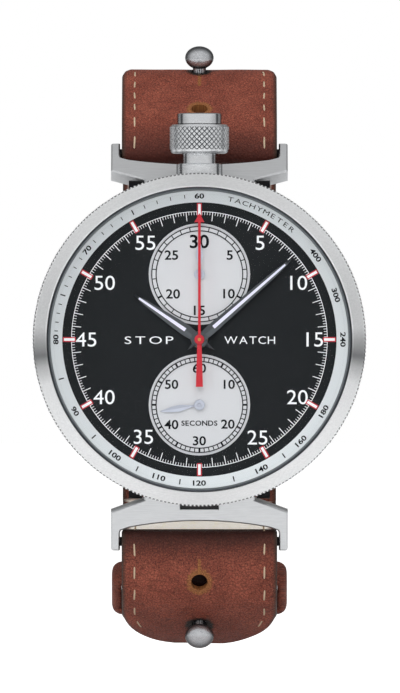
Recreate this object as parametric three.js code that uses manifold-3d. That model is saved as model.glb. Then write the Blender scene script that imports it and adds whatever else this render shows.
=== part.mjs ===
// A hand-wound single-button wrist chronograph (mechanical stopwatch) on a leather strap.
//
// Everything is modelled in the watch's own frame, in millimetres: x towards 3 o'clock, y towards
// 12 o'clock, z out of the dial. The origin is the middle of the back window's flat outer face, on
// the axis of the central hands. The exported group stands the watch up: z becomes -Y and y becomes +Z.
import * as THREE from "three";
import { mergeVertices } from "three/addons/utils/BufferGeometryUtils.js";
import Module from "manifold-3d";

const wasm = await Module();
wasm.setup();

const { cos, sin, PI, hypot, atan2, sqrt } = Math;
const radians = THREE.MathUtils.degToRad;

// ---------------------------------------------------------------- driving dimensions

const CASE = {
  bezelR: 25, // the watch is 50 mm across
  middleR: 24,
  backR: 23,
  windowR: 17.4,
  movementR: 18.4,
  dialR: 22.3,
  dialShownR: 20.65, // where the tachymeter ring covers the dial
  glassR: 22.55,
  subdialR: 7.6,
  subdialY: 9.8, // both small dials sit this far from the centre
};

// Heights from the back, in assembly order.
const Z = {
  windowTop: 1.45,
  backTop: 2.5,
  bridge: [2.6, 3.6],
  plate: [5.7, 7.7],
  dial: [8.6, 9.0],
  bezel: [10.45, 14.0],
  glass: [11.3, 15.2],
  crown: 6.8, // height of the winding axis
};

const CROWN = {
  collarR: 3.45,
  collarY: [23.6, 26.4],
  neckR: 2.58,
  neckEndY: 29.2,
  crownR: 4.45,
  crownY: [27.9, 32.3],
  capR: 3.33,
  capY: [32.15, 34.0],
  stemR: 0.65,
  stemStartY: 13.4,
  rodR: 0.28,
};

const HINGE = { y: 21.8, z: 3.4, pinR: 0.6, earX: [8.6, 10.6], upperTilt: 45, lowerTilt: 12 };

// The lug bracket, measured from its hinge axis.
const LUG = {
  thickness: 2.4,
  tongueHalf: 8.3,
  shoulder: 2.1,
  corner: 3.95,
  half: 13.3,
  end: 9.95,
  earInner: 11.95,
  archMiddle: 5.4,
  archEnd: 6.7,
  bar: 8.75,
  barR: 0.7,
};

const LEATHER = {
  thickness: 1.5,
  atBar: 1.2,
  half: 11.65,
  holeR: 1.15,
  layerGap: 2.0, // between the middles of two layers that lie on each other
};

const HANDS = { hourAngle: 304.3, minuteAngle: 48.9, secondsAngle: 260.4 }; // clockwise from 12

const TRAIN = {
  fourth: [0, -CASE.subdialY],
  counter: [0, CASE.subdialY],
  balance: [9.6, -7.4],
};

// ---------------------------------------------------------------- solids

// A closed three.js geometry as a manifold-3d solid, with its faces turned outwards.
function solid(geometry) {
  const bare = geometry.clone();
  for (const name of Object.keys(bare.attributes)) {
    if (name !== "position") bare.deleteAttribute(name);
  }
  const merged = mergeVertices(bare, 1e-5);
  const triangles = [];
  for (let i = 0; i < merged.index.count; i += 3) {
    const [a, b, c] = [0, 1, 2].map((k) => merged.index.getX(i + k));
    if (a !== b && b !== c && a !== c) triangles.push([a, b, c]);
  }
  const build = (list) =>
    new wasm.Manifold(
      new wasm.Mesh({
        numProp: 3,
        vertProperties: new Float32Array(merged.attributes.position.array),
        triVerts: new Uint32Array(list.flat()),
      }),
    );
  const made = build(triangles);
  return made.volume() < 0 ? build(triangles.map(([a, b, c]) => [a, c, b])) : made;
}

function geometryOf(body) {
  const mesh = body.getMesh();
  const geometry = new THREE.BufferGeometry();
  geometry.setAttribute("position", new THREE.BufferAttribute(mesh.vertProperties, 3));
  geometry.setIndex(new THREE.BufferAttribute(mesh.triVerts, 1));
  return geometry;
}

const union = (...bodies) => bodies.reduce((whole, body) => whole.add(body));
const cut = (body, ...tools) => tools.reduce((left, tool) => left.subtract(tool), body);

// How many sides a round of this radius gets: a multiple of four, from 8 up to 36.
const sidesFor = (r) => Math.min(36, 4 * Math.max(2, Math.round(1 + 1.7 * sqrt(r))));

// A solid of revolution about z. The profile is a list of [radius, z].
function turned(profile) {
  const segments = sidesFor(Math.max(...profile.map(([r]) => r)));
  const onAxis = profile[0][0] === 0;
  const closed = onAxis ? profile : [...profile, profile[0]];
  const lathe = new THREE.LatheGeometry(
    closed.map(([r, z]) => new THREE.Vector2(r, z)),
    segments,
  );
  return solid(lathe.rotateX(PI / 2));
}

const disc = (r, z0, z1) => turned([[0, z0], [r, z0], [r, z1], [0, z1]]);

const annulus = (inner, outer, z0, z1) =>
  turned([[inner, z0], [outer, z0], [outer, z1], [inner, z1]]);

// A flat outline given a thickness along z.
function plate(shape, z0, z1, curveSegments = 12) {
  const extruded = new THREE.ExtrudeGeometry(shape, {
    depth: z1 - z0,
    bevelEnabled: false,
    curveSegments,
  });
  return solid(extruded.translate(0, 0, z0));
}

const outline = (points) => new THREE.Shape(points.map(([x, y]) => new THREE.Vector2(x, y)));

const box = (x0, x1, y0, y1, z0, z1) =>
  plate(outline([[x0, y0], [x1, y0], [x1, y1], [x0, y1]]), z0, z1);

// The shape of a belt round two circles: a link of a lever.
function linkShape([ax, ay], [bx, by], ra, rb) {
  const along = atan2(by - ay, bx - ax);
  const lean = Math.acos((ra - rb) / hypot(bx - ax, by - ay));
  const shape = new THREE.Shape();
  shape.absarc(ax, ay, ra, along + lean, along - lean + 2 * PI, false);
  shape.absarc(bx, by, rb, along - lean, along + lean, false);
  return shape;
}

const link = (a, b, ra, rb, z0, z1) => plate(linkShape(a, b, ra, rb), z0, z1, 4);

// Placing turned parts along other axes.
const alongY = (body, x = 0, z = 0) => body.rotate([-90, 0, 0]).translate([x, 0, z]);
const alongX = (body, y, z) => body.rotate([0, 90, 0]).translate([0, y, z]);
const at = (body, [x, y]) => body.translate([x, y, 0]);

// A point at a clockwise angle from 12 o'clock.
const clock = (degrees, r) => [r * sin(radians(degrees)), r * cos(radians(degrees))];

// Where circles about two centres cross, on the side that `side` picks (+1 or -1).
function crossing([ax, ay], ra, [bx, by], rb, side) {
  const d = hypot(bx - ax, by - ay);
  const along = (ra * ra - rb * rb + d * d) / (2 * d);
  const off = side * sqrt(ra * ra - along * along);
  const [ux, uy] = [(bx - ax) / d, (by - ay) / d];
  return [ax + along * ux - off * uy, ay + along * uy + off * ux];
}

const heading = ([ax, ay], [bx, by]) => atan2(by - ay, bx - ax);

// ---------------------------------------------------------------- wheels

const TIP = 0.95; // tooth height above the pitch circle, in modules, with a little backlash
const ROOT = 1.15;

// A toothed outline. The middle of one tooth points along `phase`.
function toothed(teeth, module, phase) {
  const pitch = (teeth * module) / 2;
  const points = [];
  for (let i = 0; i < teeth; i += 1) {
    const middle = phase + (i * 2 * PI) / teeth;
    const gap = middle + PI / teeth;
    const [tip, root] = [pitch + TIP * module, pitch - ROOT * module];
    points.push([tip * cos(middle), tip * sin(middle)]);
    points.push([root * cos(gap), root * sin(gap)]);
  }
  return outline(points);
}

const gear = (teeth, module, phase, z0, z1) => plate(toothed(teeth, module, phase), z0, z1);

// Windows between the arms of a wheel.
function spokeWindows(count, inner, outer, armWidth, z0, z1) {
  const windows = [];
  for (let i = 0; i < count; i += 1) {
    const [from, to] = [(i * 2 * PI) / count, ((i + 1) * 2 * PI) / count];
    const shape = new THREE.Shape();
    const [a, b] = [armWidth / 2 / outer, armWidth / 2 / inner];
    shape.absarc(0, 0, outer, from + a, to - a, false);
    shape.absarc(0, 0, inner, to - b, from + b, true);
    windows.push(plate(shape, z0 - 0.1, z1 + 0.1, 3));
  }
  return windows;
}

const arbor = (r, z0, z1) => disc(r, z0, z1);

// Tooth phases that put a tooth of `a` in a gap of `b` on the line of centres.
const towards = (a, b) => heading(a, b);
const gapTowards = (b, a, teeth) => heading(b, a) + PI / teeth;

// ---------------------------------------------------------------- case

// Pockets under the bezel at 12 and 6 o'clock, for the lug brackets' hinges.
function hingePocket(side, width) {
  const [inner, outer] = [20.35, 26];
  const [y0, y1] = side > 0 ? [inner, outer] : [-outer, -inner];
  return box(-width, width, y0, y1, 1, HINGE.z + 1.65);
}

function caseMiddle() {
  const ring = turned(
    [
      [CASE.movementR + 0.25, 2.55],
      [CASE.middleR, 2.55],
      [CASE.middleR, 10.4],
      [CASE.dialR + 0.25, 10.4],
      [CASE.dialR + 0.25, 8.55],
      [CASE.movementR + 0.25, 8.55],
    ],
  );
  const pocketHalf = HINGE.earX[1] + 0.15;
  const spotFace = alongY(disc(CROWN.collarR + 0.05, CROWN.collarY[0], 26), 0, Z.crown);
  const tubeBore = alongY(disc(1.6, 17, 26), 0, Z.crown);
  return cut(ring, hingePocket(1, pocketHalf), hingePocket(-1, pocketHalf), spotFace, tubeBore);
}

function bezel() {
  const [bottom, top] = Z.bezel;
  return turned(
    [
      [CASE.glassR + 0.05, bottom],
      [CASE.bezelR, bottom],
      [CASE.bezelR, bottom + 1.9],
      [CASE.bezelR - 0.3, bottom + 2.3],
      [22.95, top],
      [22.7, top],
      [CASE.glassR + 0.05, top - 0.5],
    ],
  );
}

function crystal() {
  const [bottom, top] = Z.glass;
  const r = CASE.glassR - 0.05;
  const under = 12.3;
  return turned(
    [
      [0, under + 1.3],
      [12, under + 1.05],
      [20.6, under],
      [20.6, bottom],
      [r, bottom],
      [r, 13.7],
      [16, 14.75],
      [8, 15.1],
      [0, top],
    ],
  );
}

// The sloping ring between the dial and the glass, which carries the tachymeter scale.
function tachymeterRing() {
  const foot = Z.dial[1] + 0.05;
  return turned(
    [
      [CASE.dialShownR, foot],
      [CASE.dialR + 0.15, foot],
      [CASE.dialR + 0.15, 11.2],
      [CASE.dialR - 0.1, 11.2],
      [CASE.dialShownR, foot + 0.3],
    ],
  );
}

function dial() {
  const [z0, z1] = Z.dial;
  const whole = disc(CASE.dialR, z0, z1);
  const seat = (y) => at(disc(CASE.subdialR + 0.03, z0 - 0.1, z1 + 0.1), [0, y]);
  const hole = disc(1.3, z0 - 0.1, z1 + 0.1);
  return cut(whole, seat(CASE.subdialY), seat(-CASE.subdialY), hole);
}

// A silvered small dial: a raised rim, a step and a recessed middle.
function subdial(y) {
  const z = Z.dial[0];
  const profile = [
    [0.5, z],
    [CASE.subdialR, z],
    [CASE.subdialR, z + 0.45],
    [CASE.subdialR - 0.3, z + 0.45],
    [CASE.subdialR - 0.4, z + 0.3],
    [6.43, z + 0.3],
    [6.4, z + 0.22],
    [0.5, z + 0.22],
  ];
  return at(turned(profile), [0, y]);
}

// The threaded back: a ring round the window, with the ears of both lug hinges.
function caseBack() {
  const ring = turned(
    [
      [CASE.windowR + 0.1, 0.15],
      [CASE.backR - 0.6, 0.15],
      [CASE.backR, 0.75],
      [CASE.backR, Z.backTop],
      [CASE.windowR - 0.8, Z.backTop],
      [CASE.windowR - 0.8, Z.windowTop + 0.05],
      [CASE.windowR + 0.1, Z.windowTop + 0.05],
    ],
  );
  const groove = annulus(19.2, 20.0, 2.1, 3);
  const relief = box(-HINGE.earX[0], HINGE.earX[0], 20.35, 24, -1, 3);
  const [x0, x1] = HINGE.earX;
  const earR = 1.4;
  const earTop = link([HINGE.y, HINGE.z], [HINGE.y + 0.7, HINGE.z], earR, earR, x0, x1);
  const ear = union(
    earTop.rotate([90, 0, 90]),
    box(x0, x1, 18.6, HINGE.y, 0.6, 2.4),
    box(x0, x1, 20.45, HINGE.y + 0.7, 1.6, HINGE.z),
  );
  const bore = alongX(disc(HINGE.pinR + 0.02, -12, 12), HINGE.y, HINGE.z);
  const atTwelve = (body) => [body, body.mirror([1, 0, 0])];
  const atBothEnds = (bodies) => [...bodies, ...bodies.map((body) => body.mirror([0, 1, 0]))];
  const whole = union(cut(ring, groove, ...atBothEnds([relief])), ...atBothEnds(atTwelve(ear)));
  return cut(whole, ...atBothEnds([bore]));
}

const backWindow = () => disc(CASE.windowR, 0, Z.windowTop);
const backGasket = () => annulus(19.25, 19.95, 2.15, 2.5);

// ---------------------------------------------------------------- crown and button

function crownTube() {
  const [y0, y1] = CROWN.collarY;
  const bore = CROWN.stemR + 0.08;
  const profile = [
    [bore, 19.3],
    [1.5, 19.3],
    [1.5, y0],
    [CROWN.collarR, y0],
    [CROWN.collarR, y1],
    [CROWN.neckR, y1],
    [CROWN.neckR, CROWN.neckEndY],
    [bore, CROWN.neckEndY],
  ];
  return alongY(turned(profile), 0, Z.crown);
}

function crown() {
  const [y0, y1] = CROWN.crownY;
  const r = CROWN.crownR;
  const profile = [
    [CROWN.neckR + 0.07, y0],
    [r - 0.3, y0],
    [r, y0 + 0.35],
    [r, y1 - 0.6],
    [r - 0.5, y1],
    [CROWN.capR + 0.07, y1],
    [CROWN.capR + 0.07, 31.3],
    [1.18, 31.3],
    [1.18, 30.2],
    [CROWN.rodR + 0.06, 30.2],
    [CROWN.rodR + 0.06, 29.9],
    [CROWN.stemR + 0.03, 29.9],
    [CROWN.stemR + 0.03, 29.35],
    [CROWN.neckR + 0.07, 29.35],
  ];
  return alongY(turned(profile), 0, Z.crown);
}

function button() {
  const [y0, y1] = CROWN.capY;
  const profile = [
    [0, 12.7],
    [CROWN.rodR, 12.7],
    [CROWN.rodR, 31.05],
    [1.1, 31.05],
    [1.1, y0],
    [CROWN.capR, y0],
    [CROWN.capR, y1 - 0.25],
    [CROWN.capR - 0.3, y1],
    [0, y1],
  ];
  return alongY(turned(profile), 0, Z.crown);
}

function windingStem() {
  const tube = annulus(CROWN.rodR + 0.06, CROWN.stemR, CROWN.stemStartY, 29.85);
  return alongY(tube, 0, Z.crown);
}

// ---------------------------------------------------------------- hands

// A hand lying along +y about the origin, then turned clockwise to its place.
const pointed = (body, degrees) => body.rotate([0, 0, -degrees]);

// A tapered lance with a hub, a flared tail and a bore.
function lanceHand({ length, half, tail, hubR, bore, z0, z1 }) {
  const blade = outline([
    [0, length],
    [-half, length * 0.2],
    [-half * 0.55, 0.2],
    [-half * 1.5, -tail],
    [0, -tail * 0.72],
    [half * 1.5, -tail],
    [half * 0.55, 0.2],
    [half, length * 0.2],
  ]);
  const body = union(plate(blade, z0, z1), disc(hubR, z0, z1));
  return cut(body, disc(bore, z0 - 0.1, z1 + 0.1));
}

const hourHand = () =>
  pointed(
    lanceHand({ length: 12.1, half: 0.62, tail: 2.1, hubR: 1.15, bore: 0.92, z0: 9.45, z1: 9.65 }),
    HANDS.hourAngle,
  );

const minuteHand = () =>
  pointed(
    lanceHand({ length: 18.4, half: 0.6, tail: 2.2, hubR: 1.0, bore: 0.63, z0: 9.85, z1: 10.05 }),
    HANDS.minuteAngle,
  );

// The red sweep hand: an arrow on a thin stalk, with a long counterweight.
function sweepHand() {
  const [z0, z1] = [10.3, 10.5];
  const stalk = outline([
    [-0.14, 17.2], [-0.7, 17.2], [0, 18.95], [0.7, 17.2], [0.14, 17.2],
    [0.2, 0], [0.5, -7.1], [-0.5, -7.1], [-0.2, 0],
  ]);
  return union(plate(stalk, z0, z1), disc(0.82, z0, z1 + 0.25));
}

// A slim leaf hand for a small dial.
function leafHand(length, z0) {
  const leaf = outline([
    [0, length], [-0.32, length * 0.5], [-0.12, 0.5], [0.12, 0.5], [0.32, length * 0.5],
  ]);
  return union(plate(leaf, z0, z0 + 0.12), disc(0.62, z0, z0 + 0.3));
}

const counterHand = () => at(leafHand(4.6, 9.2), TRAIN.counter);
const secondsHand = () => at(pointed(leafHand(5.2, 9.2), HANDS.secondsAngle), TRAIN.fourth);

// ---------------------------------------------------------------- going train

const M = { barrel: 0.264, centre: 0.178, third: 0.162, fourth: 0.128, winding: 0.26, chrono: 0.156 };
const TEETH = {
  barrel: 60, centrePinion: 8, centre: 64, thirdPinion: 8, third: 60, fourthPinion: 8,
  fourth: 60, escapePinion: 6, ratchet: 32, crownWheel: 20, cannon: 10, minute: 30,
  minutePinion: 8, hour: 32, chrono: 48, coupling: 24, counter: 30,
};
const reach = (a, b, module) => ((a + b) * module) / 2;

const CENTRE = [0, 0];
const polar = ([x, y], r, degrees) => [x + r * cos(radians(degrees)), y + r * sin(radians(degrees))];
const BARREL = polar(CENTRE, reach(TEETH.barrel, TEETH.centrePinion, M.barrel), 154);
const THIRD = crossing(
  CENTRE,
  reach(TEETH.centre, TEETH.thirdPinion, M.centre),
  TRAIN.fourth,
  reach(TEETH.third, TEETH.fourthPinion, M.third),
  1,
);
const ESCAPE = polar(TRAIN.fourth, reach(TEETH.fourth, TEETH.escapePinion, M.fourth), -20);
const LEVER_AXIS = heading(ESCAPE, TRAIN.balance);
const PALLET = [ESCAPE[0] + 2.9 * cos(LEVER_AXIS), ESCAPE[1] + 2.9 * sin(LEVER_AXIS)];
const CROWN_WHEEL = polar(BARREL, reach(TEETH.ratchet, TEETH.crownWheel, M.winding), 58);
// The coupling wheel always meshes with the driving wheel, and swings in to the centre wheel.
const COUPLING_SWING = 360 / TEETH.chrono; // one tooth, so the driving teeth still fit
const COUPLING_ON = crossing(
  CENTRE,
  reach(TEETH.chrono, TEETH.coupling, M.chrono),
  TRAIN.fourth,
  reach(TEETH.chrono, TEETH.coupling, M.chrono),
  -1,
);
const COUPLING = (() => {
  const turn = heading(TRAIN.fourth, COUPLING_ON) + radians(COUPLING_SWING);
  const r = reach(TEETH.chrono, TEETH.coupling, M.chrono);
  return [TRAIN.fourth[0] + r * cos(turn), TRAIN.fourth[1] + r * sin(turn)];
})();

function barrelDrum() {
  const ring = union(
    gear(TEETH.barrel, M.barrel, towards(BARREL, CENTRE), 4.9, 5.35),
    disc(7.3, 4.2, 5.35),
  );
  const hollow = annulus(1.25, 7.0, 4.1, 5.1);
  const bore = disc(0.62, 4.1, 5.4);
  return at(cut(ring, hollow, bore), BARREL);
}

// A spiral strip, wound from r0 out to r1.
function spiral(r0, r1, turns, width, z0, z1, stepsPerTurn) {
  const steps = Math.round(turns * stepsPerTurn);
  const edge = (offset) => {
    const points = [];
    for (let i = 0; i <= steps; i += 1) {
      const r = r0 + ((r1 - r0) * i) / steps + offset;
      const angle = (i / stepsPerTurn) * 2 * PI;
      points.push([r * cos(angle), r * sin(angle)]);
    }
    return points;
  };
  return plate(outline([...edge(width / 2), ...edge(-width / 2).reverse()]), z0, z1);
}

const mainspring = () => at(spiral(1.6, 6.8, 4, 0.16, 4.25, 5.0, 14), BARREL);

// The ratchet wheel and the barrel arbor it is screwed to.
function ratchetWheel() {
  const wheel = gear(
    TEETH.ratchet, M.winding, towards(BARREL, CROWN_WHEEL), 2.05, 2.5,
  );
  const screw = disc(0.9, 1.75, 2.05);
  return at(union(wheel, screw, arbor(0.55, 2.4, 6.5)), BARREL);
}

function crownWheel() {
  const phase = gapTowards(CROWN_WHEEL, BARREL, TEETH.crownWheel);
  const wheel = gear(TEETH.crownWheel, M.winding, phase, 2.05, 2.5);
  return at(union(wheel, disc(0.9, 1.75, 2.05), arbor(0.4, 2.4, 3.4)), CROWN_WHEEL);
}

const CLICK_PIVOT = [BARREL[0] + 1.2, BARREL[1] - 6.3];

function click() {
  const tip = [BARREL[0] + 2.65, BARREL[1] - 3.75];
  const arm = link(CLICK_PIVOT, tip, 0.75, 0.12, 2.05, 2.5);
  return union(arm, at(arbor(0.35, 2.2, 3.3), CLICK_PIVOT));
}

// A wheel with arms, its arbor and, where it has one, its pinion.
function trainWheel({ teeth, module, phase, z, arms, arborR, arborZ, pinion }) {
  const r = (teeth * module) / 2;
  const rim = cut(
    gear(teeth, module, phase, ...z),
    ...spokeWindows(arms, 1.15, r - 0.65, 0.5, ...z),
  );
  const parts = [rim, arbor(arborR, ...arborZ)];
  if (pinion) parts.push(gear(pinion.teeth, pinion.module, pinion.phase, ...pinion.z));
  return union(...parts);
}

function centreWheel() {
  const wheel = trainWheel({
    teeth: TEETH.centre, module: M.centre, phase: towards(CENTRE, THIRD), z: [3.75, 3.95],
    arms: 4, arborR: 0.62, arborZ: [2.8, 7.75],
    pinion: {
      teeth: TEETH.centrePinion, module: M.barrel,
      phase: gapTowards(CENTRE, BARREL, TEETH.centrePinion), z: [3.9, 5.6],
    },
  });
  return cut(wheel, disc(0.34, 2, 9));
}

const thirdWheel = () =>
  at(
    trainWheel({
      teeth: TEETH.third, module: M.third, phase: towards(THIRD, TRAIN.fourth), z: [4.55, 4.78],
      arms: 4, arborR: 0.25, arborZ: [3.0, 6.4],
      pinion: {
        teeth: TEETH.thirdPinion, module: M.centre,
        phase: gapTowards(THIRD, CENTRE, TEETH.thirdPinion), z: [3.68, 4.6],
      },
    }),
    THIRD,
  );

// The fourth wheel's long arbor carries the small seconds hand in front and the chronograph's
// driving wheel behind.
function fourthWheel() {
  const wheel = trainWheel({
    teeth: TEETH.fourth, module: M.fourth, phase: towards(TRAIN.fourth, ESCAPE), z: [5.1, 5.3],
    arms: 4, arborR: 0.22, arborZ: [1.75, 9.15],
    pinion: {
      teeth: TEETH.fourthPinion, module: M.third,
      phase: gapTowards(TRAIN.fourth, THIRD, TEETH.fourthPinion), z: [4.4, 5.15],
    },
  });
  const driver = gear(TEETH.chrono, M.chrono, towards(TRAIN.fourth, COUPLING), 1.75, 1.95);
  return at(union(wheel, driver), TRAIN.fourth);
}

function escapeWheel() {
  const teeth = 15;
  const points = [];
  for (let i = 0; i < teeth; i += 1) {
    const a = (i * 2 * PI) / teeth;
    points.push([2.25 * cos(a), 2.25 * sin(a)]);
    points.push([1.65 * cos(a + 0.09), 1.65 * sin(a + 0.09)]);
    points.push([1.65 * cos(a + 0.3), 1.65 * sin(a + 0.3)]);
  }
  const rim = plate(outline(points), 4.24, 4.42);
  const pinion = gear(
    TEETH.escapePinion, M.fourth, gapTowards(ESCAPE, TRAIN.fourth, TEETH.escapePinion), 4.4, 5.5,
  );
  return at(union(rim, pinion, arbor(0.16, 3.0, 6.3)), ESCAPE);
}

// The pallet fork, drawn with its lever along +x and then turned to face the balance.
function palletFork() {
  const [z0, z1] = [4.23, 4.42];
  const arms = union(
    link([0, 0], [-0.8, 1.85], 0.38, 0.2, z0, z1),
    link([0, 0], [-0.8, -1.85], 0.38, 0.2, z0, z1),
    link([0, 0], [2.5, 0], 0.3, 0.2, z0, z1),
    link([2.5, 0], [3.0, 0.42], 0.2, 0.12, z0, z1),
    link([2.5, 0], [3.0, -0.42], 0.2, 0.12, z0, z1),
    arbor(0.16, z0, 6.2),
  );
  return arms.rotate([0, 0, THREE.MathUtils.radToDeg(LEVER_AXIS)]).translate([...PALLET, 0]);
}

function balanceWheel() {
  const [z0, z1] = [3.75, 4.15];
  const rim = annulus(3.4, 4.1, z0, z1);
  const arm = box(-3.6, 3.6, -0.3, 0.3, z0 + 0.1, z1 - 0.1);
  const hub = disc(0.7, z0, z1);
  const staff = arbor(0.2, 2.75, 6.3);
  const roller = disc(0.5, 4.15, 4.35);
  return at(union(rim, arm, hub, staff, roller), TRAIN.balance);
}

const hairspring = () => at(spiral(0.75, 3.1, 4, 0.08, 3.42, 3.62, 12), TRAIN.balance);

// ---------------------------------------------------------------- motion work behind the dial

const MINUTE_WHEEL = [
  reach(TEETH.cannon, TEETH.minute, 0.144) * cos(radians(35)),
  reach(TEETH.cannon, TEETH.minute, 0.144) * sin(radians(35)),
];
const HOUR_MODULE = (2 * hypot(...MINUTE_WHEEL)) / (TEETH.hour + TEETH.minutePinion);

function cannonPinion() {
  const teeth = gear(TEETH.cannon, 0.144, towards(CENTRE, MINUTE_WHEEL), 7.8, 8.1);
  const pipe = disc(0.56, 7.8, 10.0);
  return cut(union(teeth, pipe), disc(0.32, 7.7, 10.1));
}

function minuteWheel() {
  const wheel = gear(
    TEETH.minute, 0.144, gapTowards(MINUTE_WHEEL, CENTRE, TEETH.minute), 7.8, 8.02,
  );
  const pinion = gear(TEETH.minutePinion, HOUR_MODULE, towards(MINUTE_WHEEL, CENTRE), 8.0, 8.5);
  return at(cut(union(wheel, pinion), disc(0.2, 7.7, 8.6)), MINUTE_WHEEL);
}

function hourWheel() {
  const phase = gapTowards(CENTRE, MINUTE_WHEEL, TEETH.hour);
  const wheel = gear(TEETH.hour, HOUR_MODULE, phase, 8.22, 8.5);
  return cut(union(wheel, disc(0.88, 8.22, 9.6)), disc(0.62, 8.1, 9.7));
}

// ---------------------------------------------------------------- chronograph work

// The tooth phase that meets the coupling wheel when the lever has swung it in.
function chronographPhase() {
  const couplingPhase = gapTowards(COUPLING_ON, TRAIN.fourth, TEETH.coupling);
  const turned = couplingPhase - heading(COUPLING_ON, CENTRE);
  const teethPast = (turned * TEETH.coupling) / (2 * PI);
  return heading(CENTRE, COUPLING_ON) + ((0.5 - teethPast) * 2 * PI) / TEETH.chrono;
}

function chronographWheel() {
  const wheel = cut(
    gear(TEETH.chrono, M.chrono, chronographPhase(), 1.75, 1.95),
    ...spokeWindows(4, 1.3, 3.0, 0.45, 1.75, 1.95),
  );
  const heart = plate(linkShape([0, 0], [0.5, 0], 0.75, 0.3), 1.95, 2.3);
  return union(wheel, heart, arbor(0.27, 1.7, 10.28));
}

// The minute counter's wheel is turned from the centre by an intermediate finger.
function counterWheel() {
  const wheel = gear(TEETH.counter, 0.2, 0, 1.8, 2.0);
  const heart = plate(linkShape([0, 0], [0.4, 0], 0.6, 0.25), 2.0, 2.4);
  return at(union(wheel, heart, arbor(0.22, 1.75, 9.15)), TRAIN.counter);
}

function couplingWheel() {
  const phase = gapTowards(COUPLING, TRAIN.fourth, TEETH.coupling);
  const wheel = gear(TEETH.coupling, M.chrono, phase, 1.79, 1.91);
  return at(cut(wheel, disc(0.22, 1.7, 2)), COUPLING);
}

// The coupling lever turns about the fourth wheel's axis and holds the coupling wheel's stud.
function couplingLever() {
  const [z0, z1] = [2.05, 2.4];
  const arm = link(TRAIN.fourth, COUPLING, 0.75, 0.6, z0, z1);
  const tail = link(TRAIN.fourth, [-3.6, -13.0], 0.75, 0.35, z0, z1);
  const stud = at(disc(0.18, 1.72, 2.1), COUPLING);
  return cut(union(arm, tail, stud), at(disc(0.3, 2, 2.5), TRAIN.fourth));
}

const COLUMN_WHEEL = [9.4, 6.6];

function columnWheel() {
  const base = gear(12, 0.36, 0, 2.15, 2.5);
  const columns = [];
  for (let i = 0; i < 6; i += 1) {
    const [x, y] = clock(i * 60, 1.4);
    columns.push(disc(0.36, 1.7, 2.2).translate([x, y, 0]));
  }
  return at(union(base, ...columns, arbor(0.35, 1.7, 3.4)), COLUMN_WHEEL);
}

const OPERATING_PIVOT = [4.6, 13.2];
const BUTTON_POST = [1.0, 12.2];

// The operating lever: the button's rod pushes its short arm, and its long arm steps the column wheel.
function operatingLever() {
  const [z0, z1] = [2.05, 2.45];
  const near = link(OPERATING_PIVOT, BUTTON_POST, 0.8, 0.45, z0, z1);
  const far = link(OPERATING_PIVOT, [8.6, 9.6], 0.8, 0.3, z0, z1);
  const post = at(disc(0.4, 2.2, 6.9), BUTTON_POST);
  return union(near, far, post, at(arbor(0.4, 2.2, 3.4), OPERATING_PIVOT));
}

const HAMMER_PIVOT = [6.2, 1.6];

function resetHammer() {
  const [z0, z1] = [2.05, 2.4];
  const body = link(HAMMER_PIVOT, [4.2, 6.9], 0.75, 0.5, z0, z1);
  const toCentre = link(HAMMER_PIVOT, [1.9, 0.9], 0.75, 0.35, z0, z1);
  const toCounter = link([4.2, 6.9], [1.75, 9.0], 0.5, 0.35, z0, z1);
  return union(body, toCentre, toCounter, at(arbor(0.35, 2.2, 3.4), HAMMER_PIVOT));
}

// ---------------------------------------------------------------- plates and bridges

const wellFor = (centre, r, z0, z1) => at(disc(r, z0, z1), centre);

function mainplate() {
  const [z0, z1] = Z.plate;
  const post = at(disc(0.15, z1 - 0.1, 8.45), MINUTE_WHEEL);
  const whole = union(disc(CASE.movementR, z0, z1), post);
  const stemBore = alongY(disc(CROWN.stemR + 0.07, 11.4, 20), 0, Z.crown);
  return cut(
    whole,
    stemBore,
    wellFor(CENTRE, 0.7, 5, 8),
    wellFor(TRAIN.fourth, 0.3, 5, 8),
    wellFor(TRAIN.counter, 0.3, 5, 8),
    wellFor(BARREL, 0.62, 5, 6.6),
    wellFor(THIRD, 0.3, 5, 6.5),
    wellFor(ESCAPE, 0.21, 5, 6.5),
    wellFor(PALLET, 0.21, 5, 6.5),
    wellFor(TRAIN.balance, 0.27, 5, 6.5),
    wellFor(BUTTON_POST, 1.15, 5, 7.2),
  );
}

// Part of the movement's round, kept between two straight sides and cut back to the given radius.
function sector(points, radius, z0, z1) {
  return plate(outline(points), z0, z1).intersect(disc(radius, z0, z1));
}

const pillar = (place, r = 1.1) => at(disc(r, Z.bridge[0] + 0.5, Z.plate[0] - 0.02), place);

function barrelBridge() {
  const [z0, z1] = Z.bridge;
  const far = 30;
  const slab = sector(
    [[-far, -5.4], [-1.9, -4.4], [-1.9, 2.2], [3.4, 8.2], [6.0, far], [-far, far]],
    CASE.movementR - 0.6, z0, z1,
  );
  return cut(
    union(slab, pillar([-4.2, 15.4]), pillar([-15.6, -4.0])),
    wellFor(BARREL, 0.65, 2, 4),
    wellFor(CROWN_WHEEL, 0.45, 2, 4),
    wellFor(CLICK_PIVOT, 0.38, 2, 4),
    wellFor(TRAIN.counter, 0.3, 2, 4),
    wellFor(BUTTON_POST, 1.15, 2, 4),
  );
}

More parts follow.
